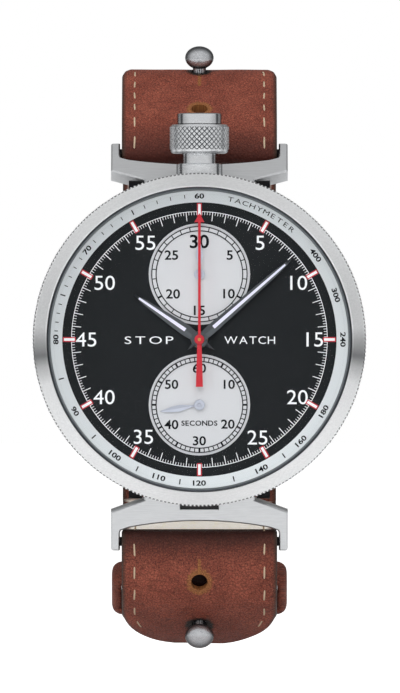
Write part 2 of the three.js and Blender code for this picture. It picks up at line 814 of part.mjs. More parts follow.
function trainBridge() {
  const [z0, z1] = Z.bridge;
  const slab = sector(
    [[-1.6, 1.9], [3.7, 8.0], [6.3, 30], [30, 30], [30, -1.6], [8.4, -1.6], [5.6, -12.9],
      [2.0, -30], [-5.4, -30], [-5.4, -13.0], [-1.6, -4.6]],
    CASE.movementR - 0.6, z0, z1,
  );
  return cut(
    union(slab, pillar([15.0, 2.0]), pillar([-2.6, -15.6]), pillar([12.0, 11.6])),
    wellFor(CENTRE, 0.7, 2, 4),
    wellFor(THIRD, 0.3, 2, 4),
    wellFor(TRAIN.fourth, 0.3, 2, 4),
    wellFor(ESCAPE, 0.21, 2, 4),
    wellFor(COLUMN_WHEEL, 0.4, 2, 4),
    wellFor(OPERATING_PIVOT, 0.45, 2, 4),
    wellFor(HAMMER_PIVOT, 0.4, 2, 4),
    wellFor(TRAIN.balance, 4.5, 2, 4),
  );
}

function balanceCock() {
  const [z0, z1] = [2.6, 3.35];
  const foot = [12.6, -11.7];
  const arm = link(foot, TRAIN.balance, 1.7, 1.0, z0, z1);
  return cut(
    union(arm.intersect(disc(18.2, z0, z1)), at(disc(0.95, z0, Z.plate[0] - 0.02), foot)),
    wellFor(TRAIN.balance, 0.25, 2, 4),
  );
}

// ---------------------------------------------------------------- lug brackets

// A bracket drawn flat with its hinge axis on y = 0, reaching out along +y.
function flatBracket(slotted) {
  const { tongueHalf, shoulder, corner, half, end, earInner, archMiddle, archEnd } = LUG;
  const sagitta = archEnd - archMiddle;
  const archR = (earInner ** 2 + sagitta ** 2) / (2 * sagitta);
  const spread = Math.asin(earInner / archR);
  const shape = new THREE.Shape();
  shape.moveTo(-tongueHalf, 0);
  shape.lineTo(tongueHalf, 0);
  shape.lineTo(tongueHalf, shoulder);
  shape.lineTo(half, corner);
  shape.lineTo(half, end - 0.5);
  shape.lineTo(half - 0.5, end);
  shape.lineTo(earInner, end);
  shape.lineTo(earInner, archEnd);
  shape.absarc(0, archMiddle + archR, archR, -PI / 2 + spread, -PI / 2 - spread, true);
  shape.lineTo(-earInner, end);
  shape.lineTo(-half + 0.5, end);
  shape.lineTo(-half, end - 0.5);
  shape.lineTo(-half, corner);
  shape.lineTo(-tongueHalf, shoulder);
  const t = LUG.thickness / 2;
  const knuckle = alongX(disc(t + 0.05, -tongueHalf, tongueHalf), 0, 0);
  const pinBore = alongX(disc(HINGE.pinR + 0.05, -20, 20), 0, 0);
  const barBore = alongX(disc(LUG.barR + 0.02, -20, 20), LUG.bar, 0);
  const body = cut(union(plate(shape, -t, t, 16), knuckle), pinBore, barBore);
  return slotted ? cut(body, box(-2.95, 2.95, 2.05, 3.75, -0.6, 2)) : body;
}

// Carries a piece drawn about the hinge axis to 12 o'clock (side 1) or 6 o'clock (side -1).
function onHinge(body, side, tilt) {
  const tilted = body.rotate([-tilt, 0, 0]).translate([0, HINGE.y, HINGE.z]);
  return side > 0 ? tilted : tilted.mirror([0, 1, 0]);
}

const upperBracket = () => onHinge(flatBracket(false), 1, HINGE.upperTilt);
const lowerBracket = () => onHinge(flatBracket(true), -1, HINGE.lowerTilt);

const strapBar = () => alongX(disc(LUG.barR, -LUG.half + 0.1, LUG.half - 0.1), LUG.bar, 0);
const upperBar = () => onHinge(strapBar(), 1, HINGE.upperTilt);
const lowerBar = () => onHinge(strapBar(), -1, HINGE.lowerTilt);

const hingePin = (side) =>
  alongX(disc(HINGE.pinR, -HINGE.earX[1] + 0.1, HINGE.earX[1] - 0.1), side * HINGE.y, HINGE.z);

// The black button in the lower bracket's slot.
const releaseButton = () =>
  onHinge(box(-2.87, 2.87, 2.13, 3.67, 0.05, 1.0), -1, HINGE.lowerTilt);

// ---------------------------------------------------------------- strap

// A path in the plane across the strap. It starts at `start`, and each stretch is
// [length, heading at its end]; the heading turns evenly along it. Heading 0 runs away from the
// case, and 90 runs back from the dial. Each point is { p, z, h }.
function walk(start, firstHeading, stretches, step = 2.2) {
  const points = [{ p: start[0], z: start[1], h: firstHeading }];
  let h = firstHeading;
  for (const [length, last] of stretches) {
    const n = Math.max(1, Math.ceil(length / step), Math.ceil(Math.abs(last - h) / 12));
    for (let i = 0; i < n; i += 1) {
      const from = points[points.length - 1];
      const middle = radians(h + ((last - h) * (i + 0.5)) / n);
      points.push({
        p: from.p + (length / n) * cos(middle),
        z: from.z - (length / n) * sin(middle),
        h: h + ((last - h) * (i + 1)) / n,
      });
    }
    h = last;
  }
  return points;
}

// The same path walked the other way.
const reversed = (path) => path.map(({ p, z, h }) => ({ p, z, h: h + 180 })).reverse();

// Points on the outward side of a path, whose outward normal is (sin h, cos h).
const offset = (path, d) =>
  path.map(({ p, z, h }) => ({ p: p + d * sin(radians(h)), z: z + d * cos(radians(h)), h }));

// The bar of one bracket in the (p, z) plane, with p measured away from the case.
function barPlace(tilt) {
  const a = radians(tilt);
  return [HINGE.y + LUG.bar * cos(a), HINGE.z - LUG.bar * sin(a)];
}

const WRAP_R = LUG.barR + 0.08 + LEATHER.atBar / 2;

// The leather's turn round a bar, from the tab's side to the wrist's side, as a path.
function wrapRound([p, z], leaving, arriving) {
  const points = [];
  const steps = 10;
  for (let i = 0; i <= steps; i += 1) {
    const h = leaving + 180 - ((leaving + 180 - arriving) * i) / steps;
    const a = radians(h);
    points.push({ p: p - WRAP_R * sin(a), z: z - WRAP_R * cos(a), h, wrap: true });
  }
  return points;
}

const leaveBar = ([p, z], h) => [p + WRAP_R * sin(radians(h)), z + WRAP_R * cos(radians(h))];
const arriveBar = ([p, z], h) => [p - WRAP_R * sin(radians(h)), z - WRAP_R * cos(radians(h))];

// Stretches of each strap. The tab is folded over the front of its bar; the main layer under it
// goes round the wrist.
const STRAP = {
  lowerLeaves: 0,
  upperLeaves: 15,
  lowerTab: [[2.5, 0], [3.5, 20], [4.2, 52], [4.5, 58], [4.5, 68], [2.6, 72]],
  lowerMain: [[4.4, 0], [2.6, 42], [4.8, 60], [4, 85], [5, 105], [4, 115], [13, 115], [19.5, 158]],
  upperTab: [[3, 30], [3.4, 57], [10.2, 60], [3.4, 80], [4, 100]],
  upperMain: [
    [2.4, 18], [2.4, 57], [9.7, 60], [3.2, 80], [4, 100], [12, 130], [14, 160], [14, 180],
  ],
  lowerStud: 14.7, // distances along the tabs
  upperStud: 19.4,
  lowerHole: 6.0,
  upperHole: 7.6,
  keeper: 31.3, // and along the short piece
  tipLength: 6.5,
  freeEnd: 33.5, // how far the long piece lies on the short one
  buckleFold: 6,
};

const LOWER_BAR = barPlace(HINGE.lowerTilt);
const UPPER_BAR = barPlace(HINGE.upperTilt);
const lowerTab = walk(leaveBar(LOWER_BAR, STRAP.lowerLeaves), STRAP.lowerLeaves, STRAP.lowerTab);
const lowerMain = walk(arriveBar(LOWER_BAR, STRAP.lowerLeaves), STRAP.lowerLeaves, STRAP.lowerMain);
const upperTab = walk(leaveBar(UPPER_BAR, STRAP.upperLeaves), STRAP.upperLeaves, STRAP.upperTab);
const upperMain = walk(arriveBar(UPPER_BAR, STRAP.upperLeaves), STRAP.upperLeaves, STRAP.upperMain);

function lengths(path) {
  const along = [0];
  for (let i = 1; i < path.length; i += 1) {
    along.push(along[i - 1] + hypot(path[i].p - path[i - 1].p, path[i].z - path[i - 1].z));
  }
  return along;
}

// The point at a distance along a path, with its heading.
function pointAt(path, distance) {
  const along = lengths(path);
  const i = along.findIndex((_, k) => along[k + 1] >= distance);
  const t = (distance - along[i]) / (along[i + 1] - along[i]);
  const mix = (key) => path[i][key] + t * (path[i + 1][key] - path[i][key]);
  return { p: mix("p"), z: mix("z"), h: mix("h") };
}

// A smooth curve from the end of one path to the start of another.
function joinUp(from, to, handle) {
  const control = [
    from,
    { p: from.p + handle * cos(radians(from.h)), z: from.z - handle * sin(radians(from.h)) },
    { p: to.p - handle * cos(radians(to.h)), z: to.z + handle * sin(radians(to.h)) },
    to,
  ];
  const steps = 10;
  const points = [];
  for (let i = 1; i < steps; i += 1) {
    const t = i / steps;
    const weights = [(1 - t) ** 3, 3 * t * (1 - t) ** 2, 3 * t * t * (1 - t), t ** 3];
    const mix = (key) => control.reduce((sum, point, k) => sum + weights[k] * point[key], 0);
    points.push({ p: mix("p"), z: mix("z"), h: from.h + t * (to.h - from.h) });
  }
  return points;
}

// A leather band along a path. side +1 puts p on +y, and -1 on -y.
function band(path, side, widthAt, thicknessAt) {
  const along = lengths(path);
  const total = along[along.length - 1];
  const positions = [];
  path.forEach((point, i) => {
    const w = widthAt(along[i], total);
    const t = thicknessAt(point) / 2;
    const [p, z, h] = [point.p, point.z, radians(point.h)];
    const [np, nz] = [t * sin(h), t * cos(h)];
    positions.push(-w, side * (p + np), z + nz, w, side * (p + np), z + nz);
    positions.push(w, side * (p - np), z - nz, -w, side * (p - np), z - nz);
  });
  const faces = [];
  const quad = (a, b, c, d) => faces.push(a, b, c, a, c, d);
  for (let i = 0; i < path.length - 1; i += 1) {
    for (let k = 0; k < 4; k += 1) {
      const [a, b] = [i * 4 + k, i * 4 + ((k + 1) % 4)];
      quad(a, b, b + 4, a + 4);
    }
  }
  const last = (path.length - 1) * 4;
  quad(3, 2, 1, 0);
  quad(last, last + 1, last + 2, last + 3);
  const geometry = new THREE.BufferGeometry();
  geometry.setAttribute("position", new THREE.Float32BufferAttribute(positions, 3));
  geometry.setIndex(faces);
  return solid(geometry);
}

// Stands a piece on a path: its own y becomes the heading there, and its z the outward side.
function standing(body, { p, z, h }, side) {
  const placed = body.rotate([-h, 0, 0]).translate([0, p, z]);
  return side > 0 ? placed : placed.mirror([0, 1, 0]);
}

const leatherThickness = ({ wrap }) => (wrap ? LEATHER.atBar : LEATHER.thickness);

// The width of a strap near its rounded tip.
function tipWidth(distance) {
  const left = Math.min(1, distance / STRAP.tipLength);
  return LEATHER.half * (0.42 + 0.58 * sqrt(1 - (1 - left) ** 2));
}

const lowerStud = pointAt(lowerTab, STRAP.lowerStud);
const upperStud = pointAt(upperTab, STRAP.upperStud);
const lowerHole = pointAt(lowerTab, STRAP.lowerHole);
const upperHole = pointAt(upperTab, STRAP.upperHole);
const studHole = () => disc(LEATHER.holeR, -5, 2);
const spareHole = () => disc(LEATHER.holeR, -1.2, 2);

// The buckle's bar lies inside the end of the short piece.
const BUCKLE = (() => {
  const { p, z, h } = lowerMain[lowerMain.length - 1];
  return { p: p - WRAP_R * sin(radians(h)), z: z - WRAP_R * cos(radians(h)), h };
})();

// The short piece's turn round the buckle's bar and its inner fold.
function buckleTurn() {
  const points = [];
  const steps = 10;
  for (let i = 0; i <= steps; i += 1) {
    const h = BUCKLE.h + (180 * i) / steps;
    const [p, z] = leaveBar([BUCKLE.p, BUCKLE.z], h);
    points.push({ p, z, h, wrap: true });
  }
  const last = points[steps];
  return [...points, ...walk([last.p, last.z], last.h, [[STRAP.buckleFold, last.h - 14]]).slice(1)];
}

function lowerStrap() {
  const path = [
    ...reversed(lowerTab).slice(0, -1),
    ...wrapRound(LOWER_BAR, STRAP.lowerLeaves, STRAP.lowerLeaves),
    ...lowerMain.slice(1, -1),
    ...buckleTurn(),
  ];
  const tongueSlot = box(-1.1, 1.1, -3.2, 3.2, -2.6, 2.4);
  return cut(
    band(path, -1, tipWidth, leatherThickness),
    standing(studHole(), lowerStud, -1),
    standing(spareHole(), lowerHole, -1),
    standing(tongueSlot, BUCKLE, -1),
  );
}

// The long piece, whose free end passes through the buckle and lies on the short piece. The
// short piece is on the other side of the case, so there p runs the other way.
function upperStrap() {
  const back = reversed(offset(lowerMain, LEATHER.layerGap));
  const along = lengths(back);
  const freeEnd = back
    .filter((_, i) => along[i] <= STRAP.freeEnd)
    .map(({ p, z, h }) => ({ p: -p, z, h: 540 - h }));
  const path = [
    ...reversed(upperTab).slice(0, -1),
    ...wrapRound(UPPER_BAR, STRAP.upperLeaves, STRAP.upperLeaves),
    ...upperMain.slice(1),
    ...joinUp(upperMain[upperMain.length - 1], freeEnd[0], 10),
    ...freeEnd,
  ];
  const tongueHole = box(-1, 1, 1.0, 4.7, 1.2, 5.5);
  return cut(
    band(path, 1, (d, total) => Math.min(tipWidth(d), tipWidth(total - d)), leatherThickness),
    standing(studHole(), upperStud, 1),
    standing(spareHole(), upperHole, 1),
    standing(tongueHole, BUCKLE, -1),
  );
}

// The ball-headed stud through the tab and the layer under it, with its flat foot inside.
function stud() {
  const profile = [
    [0, -4.1], [2.2, -4.1], [2.2, -3.55], [1.0, -3.4], [1.0, 0.85], [1.5, 0.85], [1.0, 1.5],
    [1.6, 1.95], [2.13, 3.05], [1.75, 4.05], [0.9, 4.6], [0, 4.7],
  ];
  return turned(profile);
}

// The leather loop that holds the free end down.
function slidingKeeper() {
  const [inside, wall, half] = [LEATHER.half + 0.35, 1.2, 3.5];
  const [low, high] = [-LEATHER.thickness / 2 - 0.2, LEATHER.layerGap + LEATHER.thickness / 2 + 0.2];
  const loop = cut(
    box(-inside - wall, inside + wall, -half, half, low - wall, high + wall),
    box(-inside, inside, -half - 1, half + 1, low, high),
  );
  return standing(loop, pointAt(lowerMain, STRAP.keeper), -1);
}

const FRAME = { rail: 0.9, half: 13.1, reach: 8.6, rise: 3.9 };

// The buckle's frame: two side arms from the bar's ends and a rail across the long piece.
function buckleFrame() {
  const { rail, half, reach: far, rise } = FRAME;
  const arm = link([0, 0], [far, rise], 1.25, rail, half - 1.0, half + 0.6).rotate([90, 0, 90]);
  const cross = alongX(disc(rail, -half, half), far, rise);
  const bore = alongX(disc(LUG.barR + 0.02, -20, 20), 0, 0);
  return standing(cut(union(arm, arm.mirror([1, 0, 0]), cross), bore), BUCKLE, -1);
}

const buckleBar = () =>
  standing(alongX(disc(LUG.barR, -FRAME.half - 0.5, FRAME.half + 0.5), 0, 0), BUCKLE, -1);

// The tongue: a ring round the bar, and an arm up through the long piece onto the rail.
function buckleTongue() {
  const ring = alongX(annulus(LUG.barR + 0.06, 1.35, -0.75, 0.75), 0, 0);
  const arm = band(
    walk([0.74, 0.74], -45, [[2.1, -50], [2.4, -60], [1.3, -10], [4.6, 4]]),
    1,
    () => 0.75,
    () => 0.7,
  );
  return standing(union(ring, arm), BUCKLE, -1);
}

// ---------------------------------------------------------------- materials and assembly

const finish = (color, metalness, roughness, extra = {}) => ({ color, metalness, roughness, ...extra });

const FINISH = {
  satinSteel: finish("#b4b6b8", 1, 0.35),
  polishedSteel: finish("#c9cbce", 1, 0.12),
  blackSteel: finish("#1b1b1d", 0.8, 0.35),
  glass: finish("#eef4f6", 0, 0.05, { transparent: true, opacity: 0.25 }),
  blackDial: finish("#0c0c0e", 0, 0.45),
  silveredDial: finish("#c9ced4", 0.3, 0.4),
  scaleRing: finish("#aab4be", 0.3, 0.4),
  red: finish("#b3201c", 0, 0.4),
  gunmetal: finish("#3c4046", 1, 0.3),
  bluedSilver: finish("#9aa6b4", 1, 0.25),
  nickel: finish("#c3c1b8", 1, 0.3),
  brass: finish("#c9a24e", 1, 0.3),
  ruby: finish("#2f4c86", 1, 0.3),
  rubber: finish("#17171a", 0, 0.7),
  leather: finish("#6d3f28", 0, 0.7),
};

const group = new THREE.Group();

function add(name, body, look) {
  const mesh = new THREE.Mesh(geometryOf(body), new THREE.MeshStandardMaterial(FINISH[look]));
  mesh.name = name;
  group.add(mesh);
}

add("case_middle", caseMiddle(), "satinSteel");
add("bezel", bezel(), "satinSteel");
add("crystal", crystal(), "glass");
add("tachymeter_ring", tachymeterRing(), "scaleRing");
add("dial", dial(), "blackDial");
add("minute_counter_subdial", subdial(CASE.subdialY), "silveredDial");
add("seconds_subdial", subdial(-CASE.subdialY), "silveredDial");
add("case_back", caseBack(), "blackSteel");
add("back_gasket", backGasket(), "rubber");
add("back_crystal", backWindow(), "glass");

add("crown_tube", crownTube(), "satinSteel");
add("crown", crown(), "polishedSteel");
add("pusher", button(), "polishedSteel");
add("winding_stem", windingStem(), "polishedSteel");

add("hour_hand", hourHand(), "gunmetal");
add("minute_hand", minuteHand(), "gunmetal");
add("sweep_hand", sweepHand(), "red");
add("counter_hand", counterHand(), "bluedSilver");
add("seconds_hand", secondsHand(), "bluedSilver");

add("mainplate", mainplate(), "nickel");
add("barrel_bridge", barrelBridge(), "nickel");
add("train_bridge", trainBridge(), "nickel");
add("balance_cock", balanceCock(), "nickel");
add("barrel_drum", barrelDrum(), "brass");
add("mainspring", mainspring(), "polishedSteel");
add("ratchet_wheel", ratchetWheel(), "polishedSteel");
add("crown_wheel", crownWheel(), "polishedSteel");
add("click", click(), "polishedSteel");
add("centre_wheel", centreWheel(), "brass");
add("third_wheel", thirdWheel(), "brass");
add("fourth_wheel", fourthWheel(), "brass");
add("escape_wheel", escapeWheel(), "polishedSteel");
add("pallet_fork", palletFork(), "polishedSteel");
add("balance_wheel", balanceWheel(), "brass");
add("hairspring", hairspring(), "ruby");

add("cannon_pinion", cannonPinion(), "polishedSteel");
add("minute_wheel", minuteWheel(), "brass");
add("hour_wheel", hourWheel(), "brass");

add("chronograph_wheel", chronographWheel(), "brass");
add("minute_counter_wheel", counterWheel(), "brass");
add("coupling_wheel", couplingWheel(), "brass");
add("coupling_lever", couplingLever(), "polishedSteel");
add("column_wheel", columnWheel(), "polishedSteel");
add("operating_lever", operatingLever(), "polishedSteel");
add("reset_hammer", resetHammer(), "polishedSteel");

add("upper_bracket", upperBracket(), "satinSteel");
add("lower_bracket", lowerBracket(), "satinSteel");
add("upper_hinge_pin", hingePin(1), "polishedSteel");
add("lower_hinge_pin", hingePin(-1), "polishedSteel");
add("upper_bar", upperBar(), "polishedSteel");
add("lower_bar", lowerBar(), "polishedSteel");
add("release_button", releaseButton(), "blackSteel");

add("upper_strap", upperStrap(), "leather");
add("lower_strap", lowerStrap(), "leather");
add("upper_stud", standing(stud(), upperStud, 1), "polishedSteel");
add("lower_stud", standing(stud(), lowerStud, -1), "polishedSteel");
add("sliding_keeper", slidingKeeper(), "leather");
add("buckle_frame", buckleFrame(), "satinSteel");
add("buckle_bar", buckleBar(), "polishedSteel");
add("buckle_tongue", buckleTongue(), "satinSteel");

group.rotation.x = PI / 2;
export default group;
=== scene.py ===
"""Looks of the wrist stopwatch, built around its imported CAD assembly.

Dimensions are millimetres in the watch's own frame: x towards 3 o'clock, y towards 12 o'clock, z out of the
dial, and the origin at the centre of the back window. `row` turns that into the assembly's frame in metres.
Clock angles are degrees clockwise from 12. A profile is a list of (radius, height) about its axis.
"""

import math
import random

import bmesh
import bpy
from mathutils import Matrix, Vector, kdtree, noise


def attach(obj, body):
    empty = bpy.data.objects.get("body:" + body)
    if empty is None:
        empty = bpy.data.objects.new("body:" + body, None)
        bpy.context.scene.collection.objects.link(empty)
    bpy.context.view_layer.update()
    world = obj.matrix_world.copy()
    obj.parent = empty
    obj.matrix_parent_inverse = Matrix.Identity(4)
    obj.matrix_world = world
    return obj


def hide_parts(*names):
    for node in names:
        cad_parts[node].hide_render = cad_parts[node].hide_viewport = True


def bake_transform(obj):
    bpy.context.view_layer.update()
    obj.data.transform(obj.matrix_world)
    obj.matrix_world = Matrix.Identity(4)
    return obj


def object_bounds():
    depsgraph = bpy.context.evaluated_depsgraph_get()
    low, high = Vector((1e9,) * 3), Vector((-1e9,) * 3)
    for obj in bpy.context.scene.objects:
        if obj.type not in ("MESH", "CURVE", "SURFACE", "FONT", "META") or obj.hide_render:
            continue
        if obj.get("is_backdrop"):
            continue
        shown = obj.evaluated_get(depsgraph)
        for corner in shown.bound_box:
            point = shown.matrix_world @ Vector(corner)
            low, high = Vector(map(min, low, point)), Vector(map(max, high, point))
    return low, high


MM = 0.001
WELD = 1e-4 * MM  # points nearer than this are one
SIDES = ("upper", "lower")

# Case and dial
BEZEL = {
    "outer": 25.0, "face": 24.62, "inner": 22.88, "under": 22.62, "bottom": 10.45, "top": 14.0,
    "notches": 264, "notch": 0.08,
}
MIDDLE = {"inner": 18.65, "outer": 24.0, "dial": 22.55, "low": 2.55, "high": 10.4, "dial_seat": 8.55}
HINGE_POCKET = {"half": 10.75, "inner": 20.35, "high": 5.05}
CRYSTAL = {
    "outer": 22.5, "inner": 21.9, "low": 11.3, "side": 13.7, "dome": 1.5, "under": 12.25, "hollow": 1.35,
}
DIAL_TOP = 9.0
RING = {"inner": 20.57, "inner_z": 9.35, "outer": 22.28, "outer_z": 11.2, "print": 21.52}
SUBDIAL = {
    "y": 9.8, "rim": 7.6, "track_outer": 7.15, "track_inner": 6.5, "line": 0.16, "disc": 6.4,
    "track_z": 8.9, "disc_z": 8.82,
}

# Crown group: everything turned about the axis x = 0, z = CROWN_Z
CROWN_Z = 6.8
KNURL = {"radius": 4.45, "around": 36, "low": 28.5, "high": 31.95, "depth": 0.2, "rows": 4.4, "groove": 0.27}
BAND_MIDDLE = (KNURL["low"] + KNURL["high"]) / 2
BAND_HALF = (KNURL["high"] - KNURL["low"]) / 2 + 0.05

# Hinges, brackets and strap bars
HINGE = {"y": 21.8, "z": 3.4}
TILT = {"upper": 45, "lower": 12}
BAR = {"reach": 8.75, "radius": 0.7}
BRACKET = {
    "thickness": 2.4, "tongue": 8.3, "shoulder": 2.1, "corner": 3.95, "half": 13.3, "end": 9.95,
    "ear_inner": 11.95, "arch_middle": 5.4, "arch_end": 6.7, "bevel": 0.22,
}

# Leather. Headings are degrees below straight out across the strap; a stretch is (length, heading at its end)
LEATHER = {"thickness": 1.5, "at_bar": 1.2, "half": 11.72, "hole": 1.15, "layer_gap": 2.0, "tip": 10.5}
WRAP_R = BAR["radius"] + 0.08 + LEATHER["at_bar"] / 2
LEAVES = {"upper": 15, "lower": 0}  # heading at which the leather leaves its bar
TAB = {
    "upper": [(3, 30), (3.4, 57), (10.2, 60), (3.4, 80), (4, 100)],
    "lower": [(2.5, 0), (3.5, 20), (4.2, 52), (4.5, 58), (4.5, 68), (2.6, 72)],
}
MAIN = {
    "upper": [(2.4, 18), (2.4, 57), (9.7, 60), (3.2, 80), (4, 100), (12, 130), (14, 160), (14, 180)],
    "lower": [(4.4, 0), (2.6, 42), (4.8, 60), (4, 85), (5, 105), (4, 115), (13, 115), (19.5, 158)],
}
STUD_AT = {"upper": 19.4, "lower": 14.7}  # along each tab from its bar
HOLE_AT = {"upper": 7.6, "lower": 6.0}
KEEPER_AT = 31.3  # along the short piece from its bar
FREE_END = 33.5  # length of the long piece that lies over the short one
BUCKLE_FOLD = 6
TAB_END = {"corner": 0.95, "bend_at": 2.0, "bend_r": 9.0, "reach": 9.0}
STITCH = {"length": 2.2, "pitch": 3.4, "radius": 0.115, "inset": 1.95, "free": 3.6, "sunk": 0.09}
WAVE_SEED = {"upper": 3.7, "lower": 9.2}
LINING_STARTS = 14.0  # past the fold round the bar
# painted light that keeps the pale lining bright in its shade
LINING_PAINTED_GLOW = 0.3
SHADE_REACH = {"upper": 8.5, "lower": 6.8}  # of the dark at the fold
STUD_NECK = 1.4  # height at which the ball begins
KEEPER = {"wall": 1.45, "half": 3.45, "slack": 0.2, "inner_r": 0.25, "outer_r": 1.5}
FRAME = {"rail": 0.9, "side": 0.72, "root": 1.25, "half": 13.1, "reach": 8.6, "rise": 3.9}

# Hands
HOUR = {
    "angle": 304.3, "length": 12.0, "tail": 2.8, "base": 0.86, "hub": 1.24, "low": 9.45, "ridge": 9.72,
    "lume": {"start": 2.55, "end": 11.0, "wide": 0.27, "narrow": 0.15},
}
MINUTE = {
    "angle": 48.9, "length": 18.4, "tail": 2.4, "base": 0.76, "hub": 1.1, "low": 9.85, "ridge": 10.1,
    "lume": {"start": 2.8, "end": 17.1, "wide": 0.27, "narrow": 0.14},
}
SWEEP = {"low": 10.3, "high": 10.48}
SECONDS_ANGLE = 260.4

# Movement places seen through the back window
BALANCE = (9.6, -7.4)
JEWELS = [(3.38, -5.45), (3.97, -11.24), (6.36, -9.61), (0, -9.8), (-8.07, 3.93), (0, 9.8), BALANCE]
JEWEL_FACE = 2.6

# Stage and camera, in metres
WORLD_LIGHT = 0.5
WORLD_GLOSS = 0.95
FLOOR_Z = -0.0495
FLOOR_REACH = 6.0
FLOOR_GLOW = 0.9  # what the camera sees added to the floor, so that it reads as white paper
FLOOR_MIRRORED = 0.3
CAMERA_LENS = 900
CAMERA_SENSOR = 36
SHOWN_HEIGHT = 0.10395  # the part of the object's plane that fills the picture's height
PICTURE_CENTRE = (0.00009, -0.00105)


def row(x, y, z):
    """A point of the watch's frame, in the assembly's frame in metres."""
    return Vector((x, -z, y)) * MM


def clock(angle, r, centre=(0, 0)):
    """The point at a clock angle and radius."""
    a = math.radians(angle)
    return centre[0] + r * math.sin(a), centre[1] + r * math.cos(a)


def circle(count):
    """Angles evenly round a circle."""
    return [2 * math.pi * i / count for i in range(count)]


# ------------------------------------------------------------------ materials


def linear(red, green, blue):
    """A shader colour from 0 to 255 screen values."""

    def one(value):
        value /= 255
        return value / 12.92 if value <= 0.04045 else ((value + 0.055) / 1.055) ** 2.4

    return one(red), one(green), one(blue), 1.0


class Nodes:
    """A node tree and the short node chains that the finishes and the studio share."""

    def __init__(self, tree):
        self.tree = tree

    def node(self, kind, settings=None, **inputs):
        node = self.tree.nodes.new(kind)
        for key, value in (settings or {}).items():
            setattr(node, key, value)
        for key, value in inputs.items():
            numbered = key[0] == "i" and key[1:].isdigit()
            self.put(node.inputs[int(key[1:]) if numbered else key], value)
        return node

    def put(self, socket, value):
        if isinstance(value, bpy.types.NodeSocket):
            self.tree.links.new(value, socket)
        else:
            socket.default_value = value

    def math(self, operation, first, second=0.0):
        return self.node("ShaderNodeMath", {"operation": operation}, i0=first, i1=second).outputs[0]

    def times(self, first, second):
        return self.math("MULTIPLY", first, second)

    def plus(self, first, second):
        return self.math("ADD", first, second)

    def minus(self, first, second):
        return self.math("SUBTRACT", first, second)

    def over(self, first, second):
        return self.math("DIVIDE", first, second)

    def size(self, value):
        return self.math("ABSOLUTE", value)

    def length(self, first, second):
        """The length of a flat vector from its two parts."""
        return self.math("SQRT", self.plus(self.times(first, first), self.times(second, second)))

    def place(self, scale=(1, 1, 1)):
        """Where the shaded point is, in the watch's frame in millimetres, stretched by scale."""
        coordinates = self.node("ShaderNodeTexCoord").outputs["Object"]
        mapping = self.node("ShaderNodeMapping", {"vector_type": "POINT"}, Vector=coordinates)
        x, y, z = scale
        mapping.inputs["Scale"].default_value = (1000 * x, 1000 * z, 1000 * y)
        return mapping.outputs[0]

    def parts(self, vector):
        return self.node("ShaderNodeSeparateXYZ", Vector=vector).outputs

    def vector(self, x, y, z):
        return self.node("ShaderNodeCombineXYZ", X=x, Y=y, Z=z).outputs[0]

    def noise(self, vector, scale=1.0, detail=3.0, rough=0.55):
        return self.node(
            "ShaderNodeTexNoise", Vector=vector, Scale=scale, Detail=detail, Roughness=rough
        ).outputs["Fac"]

    def ramp(self, factor, *stops):
        """A colour or grey ramp through (position, colour) stops."""
        node = self.node("ShaderNodeValToRGB", Fac=factor)
        elements = node.color_ramp.elements
        while len(elements) < len(stops):
            elements.new(0.5)
        for element, (position, colour) in zip(elements, stops):
            element.position = position
            element.color = colour if isinstance(colour, tuple) else (colour, colour, colour, 1)
        return node.outputs[0]

    def mix(self, factor, first, second):
        node = self.node("ShaderNodeMix", {"data_type": "RGBA"})
        self.put(node.inputs[0], factor)
        self.put(node.inputs[6], first)
        self.put(node.inputs[7], second)
        return node.outputs[2]

    def bump(self, height, strength, distance=0.05):
        """Relief from a height; distance is its depth in millimetres."""
        node = self.node("ShaderNodeBump", Height=height, Strength=strength, Distance=distance * MM)
        return node.outputs[0]


class Material(Nodes):
    """A node material with one main shader."""

    def __init__(self, name):
        self.data = bpy.data.materials.new(name)
        self.data.use_nodes = True
        super().__init__(self.data.node_tree)
        self.shader = self.tree.nodes["Principled BSDF"]

    def set(self, **inputs):
        """Inputs of the main shader, with underscores for spaces."""
        for key, value in inputs.items():
            self.put(self.shader.inputs[key.replace("_", " ")], value)
        return self


def steel(name, colour, roughness, brush, strength=0.25, spread=0.08):
    """Brushed steel. brush stretches the scratch pattern along the watch's x, y and z."""
    made = Material(name)
    scratches = made.noise(made.place(brush), 1.0, 4.0, 0.7)
    cloud = made.noise(made.place((0.25, 0.25, 0.25)), 1.0, 2.0)
    made.set(Metallic=1.0)
    low = tuple(c * (1 - spread) for c in colour[:3]) + (1,)
    made.set(Base_Color=made.mix(scratches, low, colour))
    rough = made.math("MULTIPLY_ADD", made.plus(scratches, cloud), 0.12)
    rough.node.inputs[2].default_value = roughness - 0.1
    made.set(Roughness=rough, Normal=made.bump(scratches, strength, 0.02))
    return made.data


